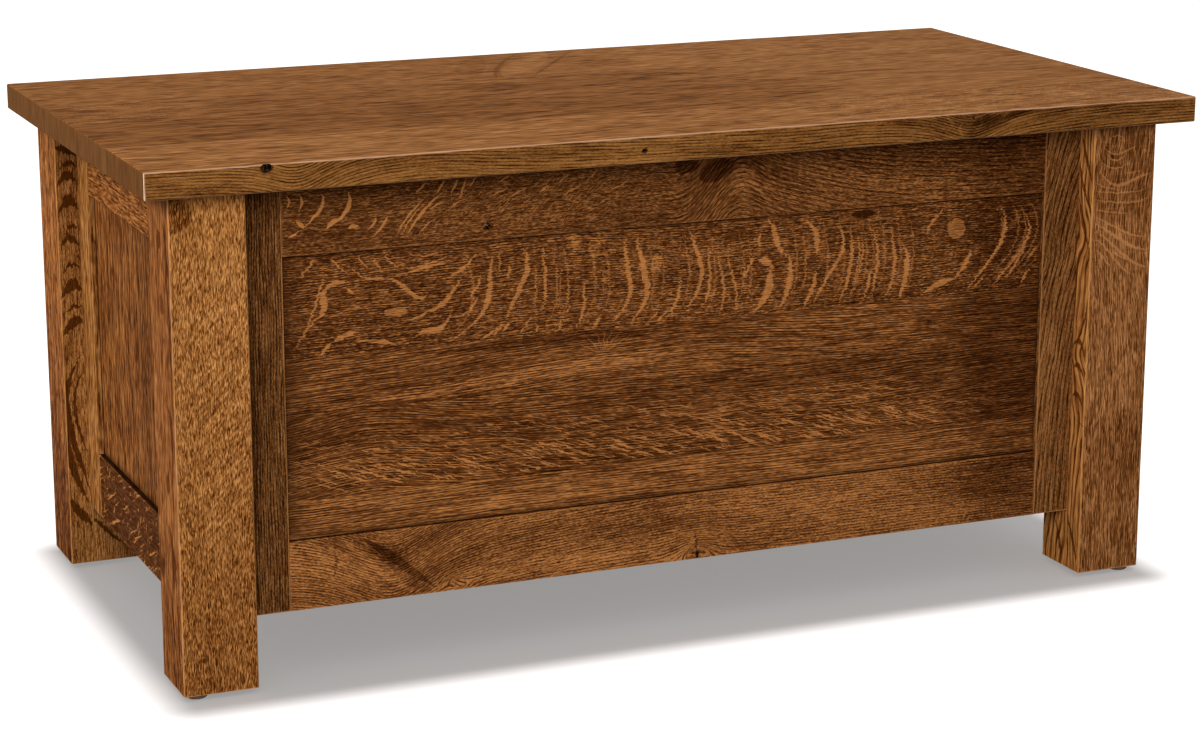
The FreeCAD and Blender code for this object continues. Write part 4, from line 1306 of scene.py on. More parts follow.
def front_frame() -> dict[str, Timber]:
    """Give the figure of the front's stiles and rails.

    Returns:
        The timber of each piece, by its node.
    """
    plain = Timber(
        stain=BROWN, streak=0.26, streak_size=(44, 1.3), ring=0.24, ring_width=3.2, broken=0.7, wear_and_highlight=0.15)
    return {
        "front_left_stile": replace(
            plain, stain=WALNUT, shade=0.87, lift=-0.08, streak=0.3, ring=0.26, ring_width=2.8, pore=0.22,
            pore_size=(12, 1.2), ripple=(1.2, 40), wear_and_highlight=0.6, seed=35),
        "front_right_stile": replace(
            plain, stain=WALNUT, shade=1.06, streak=0.26, ring=0.26, ring_width=6, wave=(7, 190),
            ripple=(1.4, 44), pore=0.22, pore_size=(14, 1.2), broken=0.6, taper=-0.02,
            swells=(Swell(560, 200, 92), Swell(330, 30, 6)), wear_and_highlight=0.6, seed=36),
        "front_top_rail": replace(
            plain, shade=0.8, lift=-0.08, streak=0.26, streak_size=(18, 1.3), stitch=0.14,
            stitch_size=(5, 1.2), ring=0.17, ring_width=4.9, ring_from=(380, 540), pore=0.16,
            pore_size=(9, 1.2), seed=37, wave=(3, 200), ripple=(0.5, 30), ragged=0.5, blotch=0.12,
            swells=(Swell(566, 50, 56), Swell(500, 40, -22), Swell(640, 110, 30)),
            strokes=(
                Stroke(((47, 70), (50, 60), (44, 48), (24, 30)), 4, 0.62),
                *strokes(
                    3, ((20, 29), (14, 24), (8, 22)), ((6, 70), (10, 62), (6, 55)),
                    ((22, 70), (25, 60), (20, 50)), tone=0.62),
                Stroke(((80, 70), (81, 56), (72, 41), (42, 24)), 4.5, 0.62),
                *strokes(5, ((66, 38), (58, 34), (52, 28)), ((18, 40), (22, 36), (26, 31)), tone=0.5),
                Stroke(((78, 27), (84, 29), (92, 28)), 4, 0.5),
                Stroke(((100, 22), (108, 28), (112, 38)), 3, 0.5),
                *strokes(
                    3.5, ((106, 14), (118, 24), (126, 38)), ((150, 14), (168, 38), (196, 62)), tone=0.5),
                Stroke(((137, 13), (150, 34), (176, 58)), 2.5, 0.5),
                *strokes(
                    2, ((143, 13), (156, 34), (172, 50)), ((176, 40), (186, 46), (196, 48)),
                    ((252, 50), (262, 55), (274, 58)), ((272, 46), (284, 52), (298, 58)), tone=0.5),
                *strokes(
                    2.5, ((160, 60), (168, 68), (174, 74)), ((185, 58), (191, 66), (196, 74)),
                    ((203, 56), (208, 65), (212, 74)), ((214, 50), (218, 62), (222, 74)),
                    ((312, 50), (320, 56), (326, 60)), tone=0.6),
                Stroke(((226, 62), (231, 70), (236, 75)), 2, 0.6),
                *strokes(
                    2, ((162, 12), (172, 22), (184, 30)), ((200, 38), (210, 46), (222, 50)), tone=0.44),
                *strokes(
                    1.8, ((340, 44), (352, 50), (364, 54)), ((398, 46), (412, 50), (428, 58)), tone=0.44),
                *strokes(
                    1.8, ((335, 60), (345, 66), (352, 70)), ((372, 60), (380, 66), (386, 72)),
                    ((260, 64), (270, 70), (276, 74)), tone=0.5)),
            flecks=(Flecks(10, 1.6, 38, 0.6, 0.3, (10, 72, 8), (130, 430, 40), seed=8),),
            spots=(
                Spot(500, 68, 16, 9, -0.19, soft=3), Spot(540, 60, 24, 12, -0.19, 20, 3),
                Spot(248, 16, 7, 6, -0.19), Spot(576, 48, 18, 13, 0.1, soft=3),
                Spot(150, 45, 300, 300, -0.02, soft=100), Spot(880, 45, 420, 300, 0.05, soft=100),
                replace(SHADED, tone=-0.12))),
        "front_bottom_rail": replace(
            plain, lift=0.03, streak=0.22, streak_size=(26, 1.3), stitch=0.14, ring=0.26, ring_width=3,
            pore=0.16, seed=38, swells=(Swell(125, 75, -58),),
            knots=(Spot(518, -4, 22, 18), Spot(207, 8, 12, 6)), spots=(SHADED,),
            strokes=(
                Stroke(((86, 80), (135, 42), (180, 6)), 11, -0.17),
                Stroke(((92, 62), (130, 38), (160, 8)), 30, -0.06),
                Stroke(((60, 84), (105, 44), (150, 4)), 16, 0.12),
                Stroke(((518, 8), (517, 20), (516, 34)), 3, -0.26),
                Stroke(((54, 66), (56, 50), (52, 34)), 4, -0.17),
                Stroke(((470, 4), (500, 12), (520, 30)), 7, 0.12),
                Stroke(((475, 0), (508, 6), (528, 20)), 5, 0.12)),
            flecks=(
                Flecks(10, 2.4, 70, 0.6, 0.22, (-4, 22, 8), (690, 930, 40), seed=9),
                Flecks(18, 1.6, 0, 0.62, 0.14, (10, 60, 12), (560, 960, 60), seed=10))),
    }


def left_side() -> dict[str, Timber]:
    """Give the figure of the left side's pieces, measured from its back corner forwards.

    Returns:
        The timber of each piece, by its node.
    """
    russet = Timber(
        stain=RUSSET, shade=0.8, streak=0.36, streak_size=(56, 3), stitch=0.14, stitch_size=(14, 2.6),
        ring=0, opening_shade=0.85, opening_shade_reach=8, wear_and_highlight=0, pore=0.22, pore_size=(20, 2.8), blotch=0.08)
    rail = replace(russet, opening_shade=0.0, wear_and_highlight=0.1)
    return {
        "left_back_stile": replace(
            rail, stain=GOLDEN, shade=1.2, streak=0.34, pore=0.26, seed=41,
            strokes=(Stroke(((8, 54.5), (250, 54), (500, 54.5)), 3.5, 0.34),)),
        "left_front_stile": replace(rail, seed=42),
        "left_panel_wide_board": replace(
            russet, streak_size=(64, 4.2), seed=43,
            flecks=(
                Flecks(30, 5, -48, 0.56, 0.09, None, (10, 170, 30), seed=11),
                Flecks(34, 5, -14, 0.56, 0.09, None, (150, 330, 30), seed=24))),
        "left_panel_narrow_board": replace(russet, shade=0.66, streak_size=(90, 3.4), seed=44),
        "left_top_rail": replace(
            rail, seed=45, shade=1, streak_size=(40, 1.6), pore_size=(20, 1.5),
            flecks=(Flecks(30, 1.8, 28, 0.62, 0.16, seed=12),)),
        "left_bottom_rail": replace(
            rail, stain=BROWN, shade=1.15, lift=-0.16, streak=0.14, streak_size=(30, 2), stitch=0.08,
            pore=0.1, seed=46,
            flecks=(Flecks(48, 3.4, 24, 0.625, 0.62, seed=13), Flecks(18, 3.4, 60, 0.66, 0.62, seed=14))),
    }


# ------------------------------------------------------------------------------ the chest's parts
@dataclass
class Legs:
    """The four square legs on their nylon glides."""

    ease: float = 0.5
    waver: float = 0.15
    boards: dict[str, Board] = field(default_factory=dict)

    def build(self) -> None:
        """Make the legs' meshes."""
        for end in ("front", "back"):
            for side in ("left", "right"):
                name = f"{end}_{side}_leg"
                self.boards[name] = Board(name, "case", "oak_frame", self.ease, self.waver)
                self.boards[name].build()

    def front_left(self) -> dict[Way, Timber]:
        """Give the figure of the front left leg: speckled in front and clouded at its side.

        Returns:
            The timber of each face that has its own.
        """
        speckled = Timber(
            stain=GOLDEN, shade=1.1, streak=0.3, streak_size=(15, 1.1), stitch=0.18, stitch_size=(6, 1),
            pore=0.22, pore_size=(8, 1), pore_cover=0.54, ring=0, blotch=0.1, ripple=(2, 24), foot=0.1,
            seed=51,
            flecks=(
                Flecks(34, 3.2, 44, 0.53, -0.1, (24, 112, 16), (130, 480, 50), seed=15),
                Flecks(34, 2.6, 44, 0.56, 0.12, (24, 112, 16), (180, 480, 50), seed=25),
                Flecks(16, 2.6, 24, 0.56, 0.12, (-9, 99, 9), (400, 560, 50), seed=16)),
            spots=(Spot(560, 4, 20, 24, -0.18, soft=4),), wear_and_highlight=0.5, rub_and_highlight_width=1.2)
        clouded = Timber(
            stain=Stain((92, 46, 16), (146, 88, 43), (190, 125, 68)), shade=0.96, streak=0.3,
            streak_size=(56, 3), stitch=0.12, stitch_size=(14, 2.6), pore=0.18, pore_size=(20, 2.8), ring=0,
            # The paler line on its arrises is partly rubbed wood and partly painted highlight.
            blotch=0.16, foot=0.08, seed=52, ragged=2, wear_and_highlight=0.8, rub_and_highlight=(196, 156, 126),
            strokes=(
                Stroke(((195, 50), (160, 62), (118, 58)), 15, -0.32),
                Stroke(((120, 46), (70, 54), (24, 66)), 7, -0.32),
                *strokes(
                    6, ((112, 78), (60, 74), (20, 80)), ((345, 50), (330, 64), (280, 74), (210, 74)),
                    tone=-0.32),
                Stroke(((342, 52), (338, 60), (310, 68)), 8, -0.32),
                Stroke(((500, 74), (430, 80), (330, 78)), 6, -0.18),
                Stroke(((556, 62), (520, 74), (470, 68)), 10, -0.18)),
            spots=(
                Spot(452, 50, 12, 8, -0.28), Spot(526, 46, 12, 7, -0.36), Spot(243, 50, 12, 9, -0.28),
                Spot(150, 12, 26, 14, -0.1), Spot(230, 16, 30, 10, -0.08)))
        return {Way.FRONT: speckled, Way.LEFT: clouded}

    def front_right(self) -> dict[Way, Timber]:
        """Give the figure of the front right leg: ray rings in front and slanting waves at its side.

        Returns:
            The timber of each face that has its own.
        """
        arcs = (
            ((532, 6), (512, 16), (507, 38), (509, 62), (516, 86)),
            ((560, 10), (548, 20), (545, 40), (552, 62)), ((488, 0), (483, 30), (481, 55), (487, 88)),
            ((499, 0), (495, 30), (494, 60), (500, 88)), ((467, 0), (456, 25), (443, 50), (437, 88)),
            ((459, 0), (446, 25), (430, 50), (420, 88)),
            ((449, 2), (436, 22), (418, 45), (400, 70), (396, 88)),
            ((438, 2), (425, 22), (405, 40), (388, 62)), ((428, 2), (414, 18), (396, 32)),
            ((520, 44), (519, 58), (521, 72)), ((552, 14), (536, 31), (550, 50)),
            ((562, 20), (567, 31), (562, 42)), ((544, 4), (526, 30), (540, 58)),
            ((476, 0), (470, 30), (466, 60)), ((420, 30), (410, 50), (404, 66)),
            ((512, 0), (503, 16), (500, 40)))
        widths = (5, 3, 3, 2, 3.5, 5, 5, 4, 3, 2, 2.5, 2, 2, 2, 2.5, 2)
        ringed = Timber(
            stain=UMBER, shade=1, lift=0, streak=0.48, streak_size=(46, 1.3), stitch=0.14, blotch=0.08,
            stitch_size=(9, 1.1), pore=0.2, pore_size=(12, 1.1), ring=0, foot=0.04, seed=53,
            ripple=(2.2, 30), swells=(Swell(470, 90, -16),), ragged=0.8,
            strokes=tuple(Stroke(route, width * 0.9, 0.28) for route, width in zip(arcs, widths)),
            spots=(
                Spot(541, 30, 14, 9, -0.1, soft=4), Spot(520, 44, 56, 60, -0.12, soft=30),
                Spot(160, 60, 50, 40, -0.1, soft=20)),
            flecks=(
                Flecks(2.2, 26, 4, 0.6, 0.1, None, (400, 570, 12), seed=17),
                Flecks(60, 2.2, -7, 0.57, 0.1, None, (200, 400, 30), seed=18)))
        waves = (
            ((566, 60), (527, 77), (505, 89)), ((533, 57), (489, 74), (472, 88)),
            ((489, 58), (456, 68), (423, 85)), ((440, 79), (352, 87), (297, 63)),
            ((294, 58), (303, 71), (275, 89)), ((264, 58), (270, 74), (248, 89)),
            ((226, 58), (232, 74), (210, 89)), ((204, 58), (199, 77), (166, 82)),
            ((70, 57), (45, 72), (12, 84)), ((58, 30), (30, 42), (5, 50)))
        slanted = replace(
            ringed, stain=GOLDEN, shade=1.5, streak=0.24, streak_size=(44, 3), stitch=0, pore=0.14,
            pore_size=(16, 3), ring=0.38, ring_width=9, broken=0.9, heart=(-60, 60), wave=(12, 110),
            ripple=(2, 30), swells=(Swell(440, 34, 16), Swell(286, 22, -14), Swell(200, 30, 12)), lift=0.04,
            spots=(), flecks=(), seed=54, strokes=tuple(Stroke(route, 6, -0.4) for route in waves))
        return {Way.FRONT: ringed, Way.LEFT: slanted}

    def back_left(self) -> dict[Way, Timber]:
        """Give the figure of the back left leg: bold dark arches in front.

        Returns:
            The timber of each face that has its own.
        """
        arches = (
            ((548, 0), (544, 14), (535, 29)), ((494, 0), (510, 13), (500, 29)),
            ((455, 0), (470, 6), (479, 17), (466, 29)), ((407, 1), (424, 6), (431, 17), (418, 29)),
            ((352, 0), (366, 9), (362, 29)), ((301, 0), (316, 9), (319, 29)),
            ((516, 4), (526, 16), (520, 29)),
            ((282, 29), (262, 11), (220, 4), (170, 8), (113, 22), (95, 29)),
            ((187, 0), (144, 4), (104, 15), (80, 26)), ((384, 4), (396, 15), (386, 29)),
            ((334, 6), (342, 18), (338, 29)), ((436, 8), (446, 18), (440, 29)),
            ((88, 2), (68, 14), (48, 30)), ((262, 29), (246, 19), (214, 13), (180, 17), (140, 29)),
            ((104, 28), (84, 46), (74, 68), (78, 86)), ((62, 30), (40, 48), (20, 70)),
            ((96, 52), (60, 60), (30, 84)))
        widths = (10, 11, 12, 8, 16, 14, 6, 9, 9, 5, 5, 5, 12, 4, 14, 6, 8)
        arched = Timber(
            stain=GOLDEN, shade=0.84, streak=0.32, streak_size=(30, 1.5), pore=0.26, pore_size=(12, 1.3),
            ring=0, ragged=1.8, seed=55, wear_and_highlight=0.2,
            strokes=tuple(Stroke(route, width, -0.46) for route, width in zip(arches, widths)))
        side = Timber(
            stain=RUSSET, shade=1.12, streak=0.34, streak_size=(56, 3), stitch=0.14, stitch_size=(12, 2.6),
            pore=0.26, pore_size=(14, 2.8), ring=0, blotch=0.1, foot=0.16, seed=56, wear_and_highlight=0.2,
            flecks=(Flecks(60, 4.5, 4, 0.58, 0.2, None, (330, 600, 40), seed=20),))
        return {Way.FRONT: arched, Way.LEFT: side}

    def dress(self) -> None:
        """Stain each leg, and finish the glides."""
        figures = {
            "front_left_leg": self.front_left(),
            "front_right_leg": self.front_right(),
            "back_left_leg": self.back_left(),
        }
        runs = {Way.FRONT: Way.RIGHT, Way.LEFT: Way.FRONT}
        for number, (name, board) in enumerate(self.boards.items()):
            faces = {}
            for way, timber in figures.get(name, {}).items():
                lie = Lie(board.block, Way.UP, runs[way], way)
                faces[way] = timber.material(f"{name}_{way.name.lower()}", lie)
            plain = Timber(
                stain=GOLDEN, shade=0.92, streak=0.34, streak_size=(46, 1.8), pore=0.22, pore_size=(14, 1.4),
                foot=0.12, ring=0.16, seed=57 + number)
            lie = Lie(board.block, Way.UP, Way.RIGHT, Way.BACK)
            board.dress(plain.material(name + "_plain", lie), faces)
        nylon = Moulded((74, 58, 44), (104, 88, 70)).material("brown_nylon")
        for name in self.boards:
            put_on(name.replace("_leg", "_glide"), nylon)


@dataclass
class Side:
    """One frame of the case with its panel and cleat, seen from outside.

    Attributes:
        name: Which side it is.
        run: The way from its left stile to its right one, as it is seen.
        facing: The way it looks.
        ends: Names of the corners at its left and right stile.
        panel: Names of the panel's boards.
        figures: Timbers of the boards that have their own.
        seed: Which noises the others take.
        pits: Hollows, each with the node that it is sunk in.
        ease: How far the arrises of the frame are eased.
        panel_ease: How far those of the panel are.
        boards: The boards, by their nodes.
    """

    name: str
    run: Way
    facing: Way
    ends: tuple[str, str]
    panel: tuple[str, ...]
    figures: dict[str, Timber]
    seed: float
    pits: tuple[tuple[str, Pit], ...] = ()
    ease: float = 0.7
    panel_ease: float = 0.2
    boards: dict[str, Board] = field(default_factory=dict)

    def build(self) -> None:
        """Make the meshes of the frame, the panel and the cleat, and sink the pits."""
        for part in (f"{self.ends[0]}_stile", f"{self.ends[1]}_stile", "top_rail", "bottom_rail"):
            self.add(f"{self.name}_{part}", "oak_frame", self.ease)
        for part in self.panel:
            self.add(f"{self.name}_panel_{part}", "oak_panel", self.panel_ease)
        self.add(f"{self.name}_cleat", "oak_cleat", self.ease)
        for node, hollow in self.pits:
            self.boards[node].pit(hollow, self.lie(node))

    def add(self, node: str, slot: str, ease: float) -> None:
        """Make one board."""
        self.boards[node] = Board(node, "case", slot, ease)
        self.boards[node].build()

    def opening(self) -> Block:
        """Find the panel's opening.

        Returns:
            Its box, as deep as the panel is thick.
        """
        panel = Block.around(*(f"{self.name}_panel_{part}" for part in self.panel))
        rails = [Block.around(f"{self.name}_{part}_rail") for part in ("bottom", "top")]
        first, second = (Block.around(f"{self.name}_{end}_stile") for end in self.ends)
        low, high = panel.low.copy(), panel.high.copy()
        low.z, high.z = rails[0].high.z, rails[1].low.z
        axis = self.run.axis
        low[axis] = min(first.high[axis], second.high[axis])
        high[axis] = max(first.low[axis], second.low[axis])
        return Block(low, high)

    def lie(self, node: str) -> Lie:
        """Give how the outer face of a board lies.

        Args:
            node: The board's node.

        Returns:
            Its lie, measured from the opening's corner along the side.
        """
        opening = self.opening()
        block = self.boards[node].block
        if "_panel_" in node:
            if "_narrow_" in node or "_wide_" in node:
                return Lie(opening, Way.UP, self.run, self.facing)
            return Lie(opening, self.run, Way.UP, self.facing)
        if "_stile" in node:
            return Lie(block, Way.UP, self.run, self.facing)
        axis = self.run.axis
        low, high = block.low.copy(), block.high.copy()
        low[axis], high[axis] = opening.low[axis], opening.high[axis]
        return Lie(Block(low, high), self.run, Way.UP, self.facing)

    def dress(self) -> None:
        """Stain every board of this side."""
        for number, (node, board) in enumerate(self.boards.items()):
            if "_cleat" in node:
                timber = Timber(stain=BARE, wear_and_highlight=0.3, roughness=(0.72, 0.62))
            elif "_panel_" in node:
                timber = replace(
                    QUARTERED, flecks=(Flecks(20, 2.6, 16, 0.6, 0.3, seed=self.seed + number),))
            else:
                timber = Timber(
                    shade=1.05, streak=0.34, streak_size=(46, 1.8), pore=0.2, pore_size=(14, 1.4),
                    ring=0.22, ring_width=3.6)
            timber = self.figures.get(node, replace(timber, seed=self.seed + number))
            lie = self.lie(node)
            faces = {}
            if node.endswith("_bottom_rail"):
                # Painted shade: the ledge under the panel gets a near-black copy of the rail's stain.
                shaded_ledge = replace(timber, stain=LEDGE_SHADE, flecks=(), strokes=())
                faces[Way.UP] = shaded_ledge.material(node + "_ledge", lie)
            elif node == f"{self.name}_{self.ends[0]}_stile" and self.run is Way.FRONT:
                # Painted shade: the left side's back stile gets a darker copy of its stain on its reveal in
                # the opening.
                dull = replace(timber, shade=0.8, strokes=())
                faces[Way.FRONT] = dull.material(node + "_reveal", lie)
            board.dress(timber.material(node + "_stain", lie), faces)


@dataclass
class Lid:
    """The slab lid of four boards, which turns on the hinges.

    Attributes:
        count: Number of boards, from the front.
        ease: How far their arrises are eased.
        waver: How uneven they are.
        past_slab: How far past the slab its arrises are put where they aren't rubbed and highlit.
        boards: The boards, by their nodes.
    """

    count: int = 4
    ease: float = 0.3
    waver: float = 0.15
    past_slab: float = 50.0
    boards: dict[str, Board] = field(default_factory=dict)

    def build(self) -> None:
        """Make the boards' meshes."""
        for number in range(1, self.count + 1):
            node = f"lid_board_{number}"
            self.boards[node] = Board(node, "lid", "oak_lid", self.ease, self.waver)
            self.boards[node].build()

    def front_edge(self) -> Timber:
        """Give the figure of the front edge: arching lines, knots and clouds.

        Returns:
            Its timber.
        """
        return Timber(
            stain=OLIVE, lift=0, streak=0.24, streak_size=(36, 1.3), stitch=0.1, pore=0.14, ring=0.33,
            ring_width=3.2, broken=0.6, wave=(2.5, 150), ripple=(0.5, 30), blotch=0.3, seed=61, wear_and_highlight=0.9,
            rub_and_highlight=RUBBED_AND_HIGHLIT,
            swells=(Swell(172, 42, -24), Swell(310, 130, 16), Swell(760, 120, -5), Swell(1020, 48, -26)),
            strokes=(
                *strokes(
                    4, ((984, 30), (992, 22), (996, 12)), ((1012, 2), (1004, 10), (1008, 20)), tone=0.16),
                Stroke(((1024, 8), (1032, 16), (1030, 28)), 3, 0.16),
                Stroke(((888, 24), (950, 22), (992, 4)), 7, -0.14),
                Stroke(((1044, 2), (1060, 16), (1100, 29)), 8, -0.14),
                Stroke(((940, 2), (965, 6), (985, 3)), 6, -0.14)),
            spots=(
                Spot(138, 28, 8, 6, -0.45), Spot(590, 15, 4, 3.4, -0.45),
                Spot(1040, 14, 26, 12, -0.14, 20, 4), Spot(1010, 24, 40, 9, -0.12, soft=4),
                Spot(570, 31, 7, 2, -0.3), Spot(680, 8, 60, 8, -0.1, soft=3),
                Spot(1180, 16, 240, 200, -0.06, soft=80)))

    def tops(self) -> dict[str, Timber]:
        """Give the figure of the boards' top faces.

        Returns:
            The timber of each board, by its node.
        """
        plain = Timber(
            stain=HONEY, shade=0.84, streak=0.42, streak_size=(70, 3), stitch=0.24, stitch_size=(22, 2.6),
            pore=0.16, pore_size=(20, 2.2), ring=0.1, ring_width=11, heart=(80, 160), taper=0.06,
            blotch=0.07, wear_and_highlight=0.8, rub_and_highlight=RUBBED_AND_HIGHLIT)
        # The broad, soft darker spots towards the left end of boards 2 to 4 are painted shade, which leaves
        # the top lighter to the right.
        return {
            "lid_board_1": replace(
                plain, seed=62, lift=-0.04,
                flecks=(Flecks(16, 2.6, 52, 0.56, 0.14, None, (850, 1360, 60), seed=21),)),
            "lid_board_2": replace(
                plain, streak=0.34, stitch=0.16, seed=63,
                strokes=(Stroke(((630, 50), (690, 40), (745, 10)), 2.5, -0.36),),
                spots=(Spot(300, 85, 680, 200, -0.19, soft=60), Spot(100, 85, 500, 200, -0.04, soft=60))),
            "lid_board_3": replace(
                plain, streak=0.38, stitch=0.18, seed=64,
                strokes=(
                    Stroke(((720, -6), (900, 26), (1000, 56), (1090, 64), (1338, 49)), 2.2, -0.22),
                    Stroke(((200, 3), (450, 5), (700, 3)), 4, 0.14)),
                spots=(
                    Spot(1002, 10, 36, 6, -0.34), Spot(1052, 14, 28, 5, -0.34),
                    Spot(200, 60, 700, 200, -0.17, soft=60)),
                flecks=(Flecks(12, 2.6, 60, 0.56, 0.12, None, (0, 180, 40), seed=22),)),
            "lid_board_4": replace(
                plain, seed=65, streak=0.2, spots=(Spot(200, 100, 600, 250, -0.1, soft=60),),
                strokes=(
                    Stroke(((602, 2), (660, 90), (735, 205)), 46, 0.13),
                    Stroke(((590, 2), (625, 90), (700, 205)), 7, -0.22),
                    Stroke(((640, 2), (700, 90), (780, 205)), 6, -0.16),
                    Stroke(((560, 10), (590, 100), (640, 200)), 40, -0.08))),
        }

    def dress(self) -> None:
        """Stain the boards: the tops, the front edge and the end grain."""
        edge = self.boards["lid_board_1"]
        lie = Lie(edge.block, Way.RIGHT, Way.UP, Way.FRONT)
        for hollow in (Pit(138, 28, 6, 4.5, 5), Pit(590, 15, 2.6, 2.2, 4), Pit(1022, 25, 1.6, 1.4, 3)):
            edge.pit(hollow, lie)
        slab, past = Block.around(*self.boards), self.past_slab
        front = self.front_edge().material("lid_front_edge", lie, slab.longer(Way.UP, past, 0.0))
        level, upright = slab.longer(Way.RIGHT, past, past), slab.longer(Way.UP, past, past)
        strip = Spot(16, 9.5, 300, 9.5, 0.12, soft=2)
        for node, timber in self.tops().items():
            board = self.boards[node]
            top_lie = Lie(board.block, Way.RIGHT, Way.BACK, Way.UP)
            end_lie = Lie(board.block, Way.UP, Way.BACK, Way.LEFT)
            top = timber.material(node + "_top", top_lie, level)
            # On the front board the ends' arrises get a pale painted highlight, which shows on the lid's
            # front corners.
            end_grain = replace(
                timber, stain=HONEY, shade=0.58, streak=0.14, streak_size=(30, 4), stitch=0.06, pore=0.1,
                ring=0.05, ring_width=9, strokes=(), flecks=(), rub_and_highlight=PAINTED_HIGHLIGHT, rub_and_highlight_width=2.2,
                spots=(strip,) if node == "lid_board_2" else (), wear_and_highlight=1 if board is edge else 0,
                seed=timber.seed + 5)
            end = end_grain.material(node + "_end", end_lie, upright)
            faces = {Way.LEFT: end, Way.RIGHT: end}
            if board is edge:
                faces[Way.FRONT] = front
            board.dress(top, faces)


@dataclass
class Bottom:
    """The cedar boards on their cleats."""

    count: int = 6
    ease: float = 0.5

    def build(self) -> None:
        """Make and finish the boards."""
        cedar = Timber(
            stain=CEDAR, streak=0.3, pore=0, ring=0.3, ring_width=5, wear_and_highlight=0.15, roughness=(0.7, 0.62))
        for number in range(1, self.count + 1):
            node = f"bottom_board_{number}"
            board = Board(node, "case", "cedar", self.ease)
            board.build()
            lie = Lie(board.block, Way.BACK, Way.RIGHT, Way.UP)
            board.dress(replace(cedar, seed=70 + number * 3).material(node + "_cedar", lie))


@dataclass
class Hardware:
    """Hinges, pins, screws and bumpers."""

    hinges: tuple[str, ...] = ("left", "middle", "right")

    def dress(self) -> None:
        """Finish the hinge parts, the screws and the bumpers."""
        steel = Metal().material("antiqued_steel")
        for hinge in self.hinges:
            put_on(f"hinge_{hinge}_case_leaf", steel)
            put_on(f"hinge_{hinge}_lid_leaf", steel)
        put_on("hinge_pins", steel)
        plated = Metal((196, 184, 160), (120, 108, 88), (2.0, 2.0, 0.3)).material("plated_steel")
        put_on("hinge_case_screws", plated)
        put_on("hinge_lid_screws", plated)
        put_on("lid_bumpers", Moulded((128, 106, 84), (150, 128, 106), skin=0.4).material("brown_rubber"))


# ------------------------------------------------------------------------------ studio
@dataclass(frozen=True)
class Softbox:
    """A square lamp that looks at a point of the chest; lengths in metres, power in watts."""

    name: str
    place: Triple
    target: Triple
    size: float
    power: float
    lights_floor: bool = False

    def build(self, unlit: bpy.types.Collection) -> None:
        """Hang the lamp.

        Args:
            unlit: What a lamp leaves out when it isn't for the floor.
        """
        lamp = bpy.data.lights.new(self.name, "AREA")
        lamp.shape = "SQUARE"
        lamp.size = self.size
        lamp.energy = self.power
        holder = bpy.data.objects.new(self.name, lamp)
        holder.location = self.place
        holder.rotation_euler = (Vector(self.target) - Vector(self.place)).to_track_quat("-Z", "Y").to_euler()
        bpy.context.scene.collection.objects.link(holder)
        if not self.lights_floor:
            holder.light_linking.receiver_collection = unlit


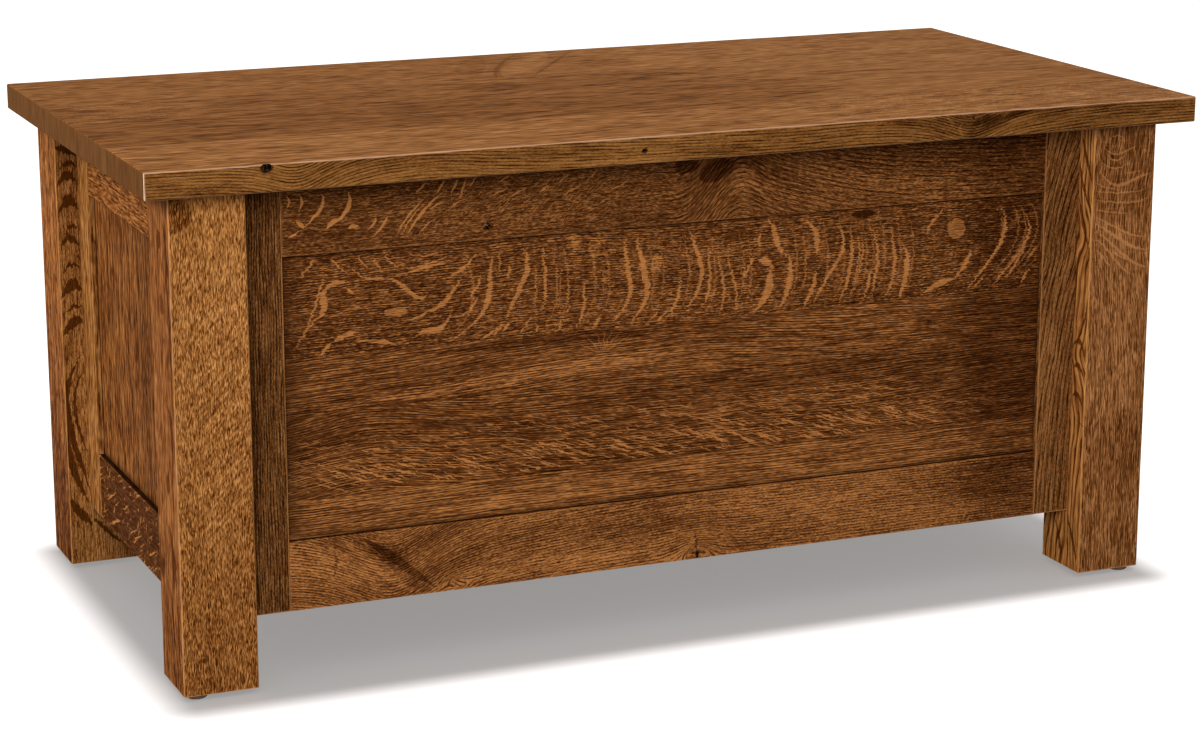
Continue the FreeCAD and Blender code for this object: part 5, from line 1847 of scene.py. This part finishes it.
@dataclass
class Studio:
    """The camera, the lamps, the white surroundings and the floor.

    Attributes:
        camera_place: Where the camera hangs, in metres.
        camera_turn: Degrees that it looks to the right of straight back.
        camera_dip: Degrees that it looks down.
        camera_lens: Its focal length, with a sensor 36 mm wide.
        lamps: The lamps.
        ambient: Strength of the surroundings' light on the chest.
        floor_half: Half the floor's width, in metres.
        floor_glow: What the floor glows like where the camera sees it.
        floor_seen: Its own colour there.
        floor_bounce: Its colour for light that goes on to the chest.
        shaded: Strength of the glow under the chest, lower there to paint its shadow; further off it is 1.
        shade_forward: How far the shaded part lies to the front, in millimetres.
        shade_past: How far it goes past the legs at their sides, and in front and behind.
        shade_fade: How wide its soft rim is.
    """

    camera_place: Triple = (-1.48801, -3.53357, 1.22807)
    camera_turn: float = 22.952
    camera_dip: float = 14.22
    camera_lens: float = 92.237
    lamps: tuple[Softbox, ...] = (
        Softbox("overhead", (0.25, -0.1, 3.4), (0.1, -0.1, 0.0), 0.7, 30.0, lights_floor=True),
        Softbox("front", (-2.03, -4.35, 2.29), (0.0, 0.0, 0.35), 2.3, 231.0),
        Softbox("left", (-3.95, 0.50, 2.75), (0.0, 0.0, 0.35), 1.4, 97.0),
        Softbox("fill", (2.9, 2.9, 0.30), (0.0, 0.0, 0.30), 0.6, 62.0),
    )
    ambient: float = 0.33
    floor_half: float = 12.0
    floor_glow: Triple = (1.0, 0.97, 0.95)
    floor_seen: Triple = (0.6, 0.6, 0.6)
    floor_bounce: Triple = (0.35, 0.34, 0.33)
    shaded: float = 0.30
    shade_forward: float = 15.0
    shade_past: Pair = (-12.0, 3.0)
    shade_fade: float = 60.0

    def build(self) -> None:
        """Make everything round the chest."""
        camera = bpy.data.cameras.new("camera")
        camera.lens = self.camera_lens
        camera.sensor_width = 36.0
        holder = bpy.data.objects.new("camera", camera)
        holder.location = self.camera_place
        holder.rotation_euler = (math.radians(90.0 - self.camera_dip), 0.0, -math.radians(self.camera_turn))
        bpy.context.scene.collection.objects.link(holder)
        bpy.context.scene.camera = holder
        unlit = bpy.data.collections.new("lit by the overhead lamp alone")
        for lamp in self.lamps:
            lamp.build(unlit)
        self.build_world()
        unlit.objects.link(self.build_floor())
        unlit.collection_objects[0].light_linking.link_state = "EXCLUDE"
        bpy.context.scene.view_settings.view_transform = "Standard"

    def seen(self, tree: bpy.types.NodeTree) -> bpy.types.NodeSocket:
        """Find out what the camera sees, straight, in a gloss or through glass.

        Args:
            tree: Where the nodes go.

        Returns:
            A socket that is 1 for it.
        """
        path = tree.nodes.new("ShaderNodeLightPath")
        socket = path.outputs["Is Camera Ray"]
        for name in ("Is Glossy Ray", "Is Transmission Ray"):
            both = tree.nodes.new("ShaderNodeMath")
            both.operation = "MAXIMUM"
            tree.links.new(socket, both.inputs[0])
            tree.links.new(path.outputs[name], both.inputs[1])
            socket = both.outputs[0]
        return socket

    def build_world(self) -> None:
        """Light evenly, and show white where the camera looks past the floor."""
        world = bpy.data.worlds.new("surroundings")
        world.use_nodes = True
        bpy.context.scene.world = world
        tree = world.node_tree
        background = tree.nodes["Background"]
        background.inputs["Color"].default_value = (1.0, 1.0, 1.0, 1.0)
        strength = tree.nodes.new("ShaderNodeMapRange")
        tree.links.new(self.seen(tree), strength.inputs[0])
        strength.inputs[3].default_value = self.ambient
        strength.inputs[4].default_value = 1.0
        tree.links.new(strength.outputs[0], background.inputs["Strength"])

    def build_floor(self) -> bpy.types.Object:
        """Lay the pale floor, which glows white away from the chest and less under it: a painted shadow on
        top of the real one.

        Returns:
            The floor.
        """
        shape = bmesh.new()
        bmesh.ops.create_grid(shape, x_segments=4, y_segments=4, size=self.floor_half)
        mesh = bpy.data.meshes.new("floor")
        shape.to_mesh(mesh)
        shape.free()
        floor = bpy.data.objects.new("floor", mesh)
        bpy.context.scene.collection.objects.link(floor)
        bench = Bench("pale_floor")
        bench.plain(Roughness=0.9, Specular_IOR_Level=0.0, Emission_Color=(*self.floor_glow, 1.0))
        feet = Block.around("front_left_leg", "front_right_leg", "back_left_leg", "back_right_leg")
        middle, half = (feet.low + feet.high) / 2, (feet.high - feet.low) / 2
        place = bench.parts(bench.here((middle.x, middle.y - self.shade_forward, 0.0)))
        beyond = [bench.calc("MAXIMUM", abs(part) - (size + past), 0.0)
                  for part, size, past in zip(place, half, self.shade_past)]
        outside = bench.calc("SQRT", bench.fused(beyond[0], beyond[0], beyond[1] * beyond[1]))
        seen = Wire(bench, self.seen(bench.tree))
        # Painted shadow: the glow drops to shaded over the chest's footprint.
        glow = bench.step(outside, 0.0, self.shade_fade, self.shaded, 1.0) * seen
        bench.feed(bench.shader.inputs["Emission Strength"], glow)
        colour = bench.mix(seen, (*self.floor_bounce, 1.0), (*self.floor_seen, 1.0))
        bench.feed(bench.shader.inputs["Base Color"], colour)
        mesh.materials.append(bench.material)
        return floor


def write_sizes() -> None:
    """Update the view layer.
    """
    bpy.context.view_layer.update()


def main() -> None:
    """Build the chest piece by piece, and the studio round it."""
    logging.basicConfig(level=logging.INFO, format="%(name)s: %(message)s")
    noise.seed_set(UNEVEN_SEED)
    legs = Legs()
    legs.build()
    legs.dress()
    level = tuple(f"board_{number}" for number in range(1, 5))
    upright = ("narrow_board", "wide_board")
    front_figures = {**front_panel(), **front_frame()}
    sides = (
        Side("front", Way.RIGHT, Way.FRONT, ("left", "right"), level, front_figures, 3, FRONT_PITS),
        Side("right", Way.BACK, Way.RIGHT, ("front", "back"), upright, {}, 13),
        Side("back", Way.LEFT, Way.BACK, ("right", "left"), level, {}, 23),
        Side("left", Way.FRONT, Way.LEFT, ("back", "front"), upright, left_side(), 33),
    )
    for side in sides:
        side.build()
        side.dress()
    lid = Lid()
    lid.build()
    lid.dress()
    Bottom().build()
    Hardware().dress()
    Studio().build()
    write_sizes()


if __name__ == "__main__":
    main()
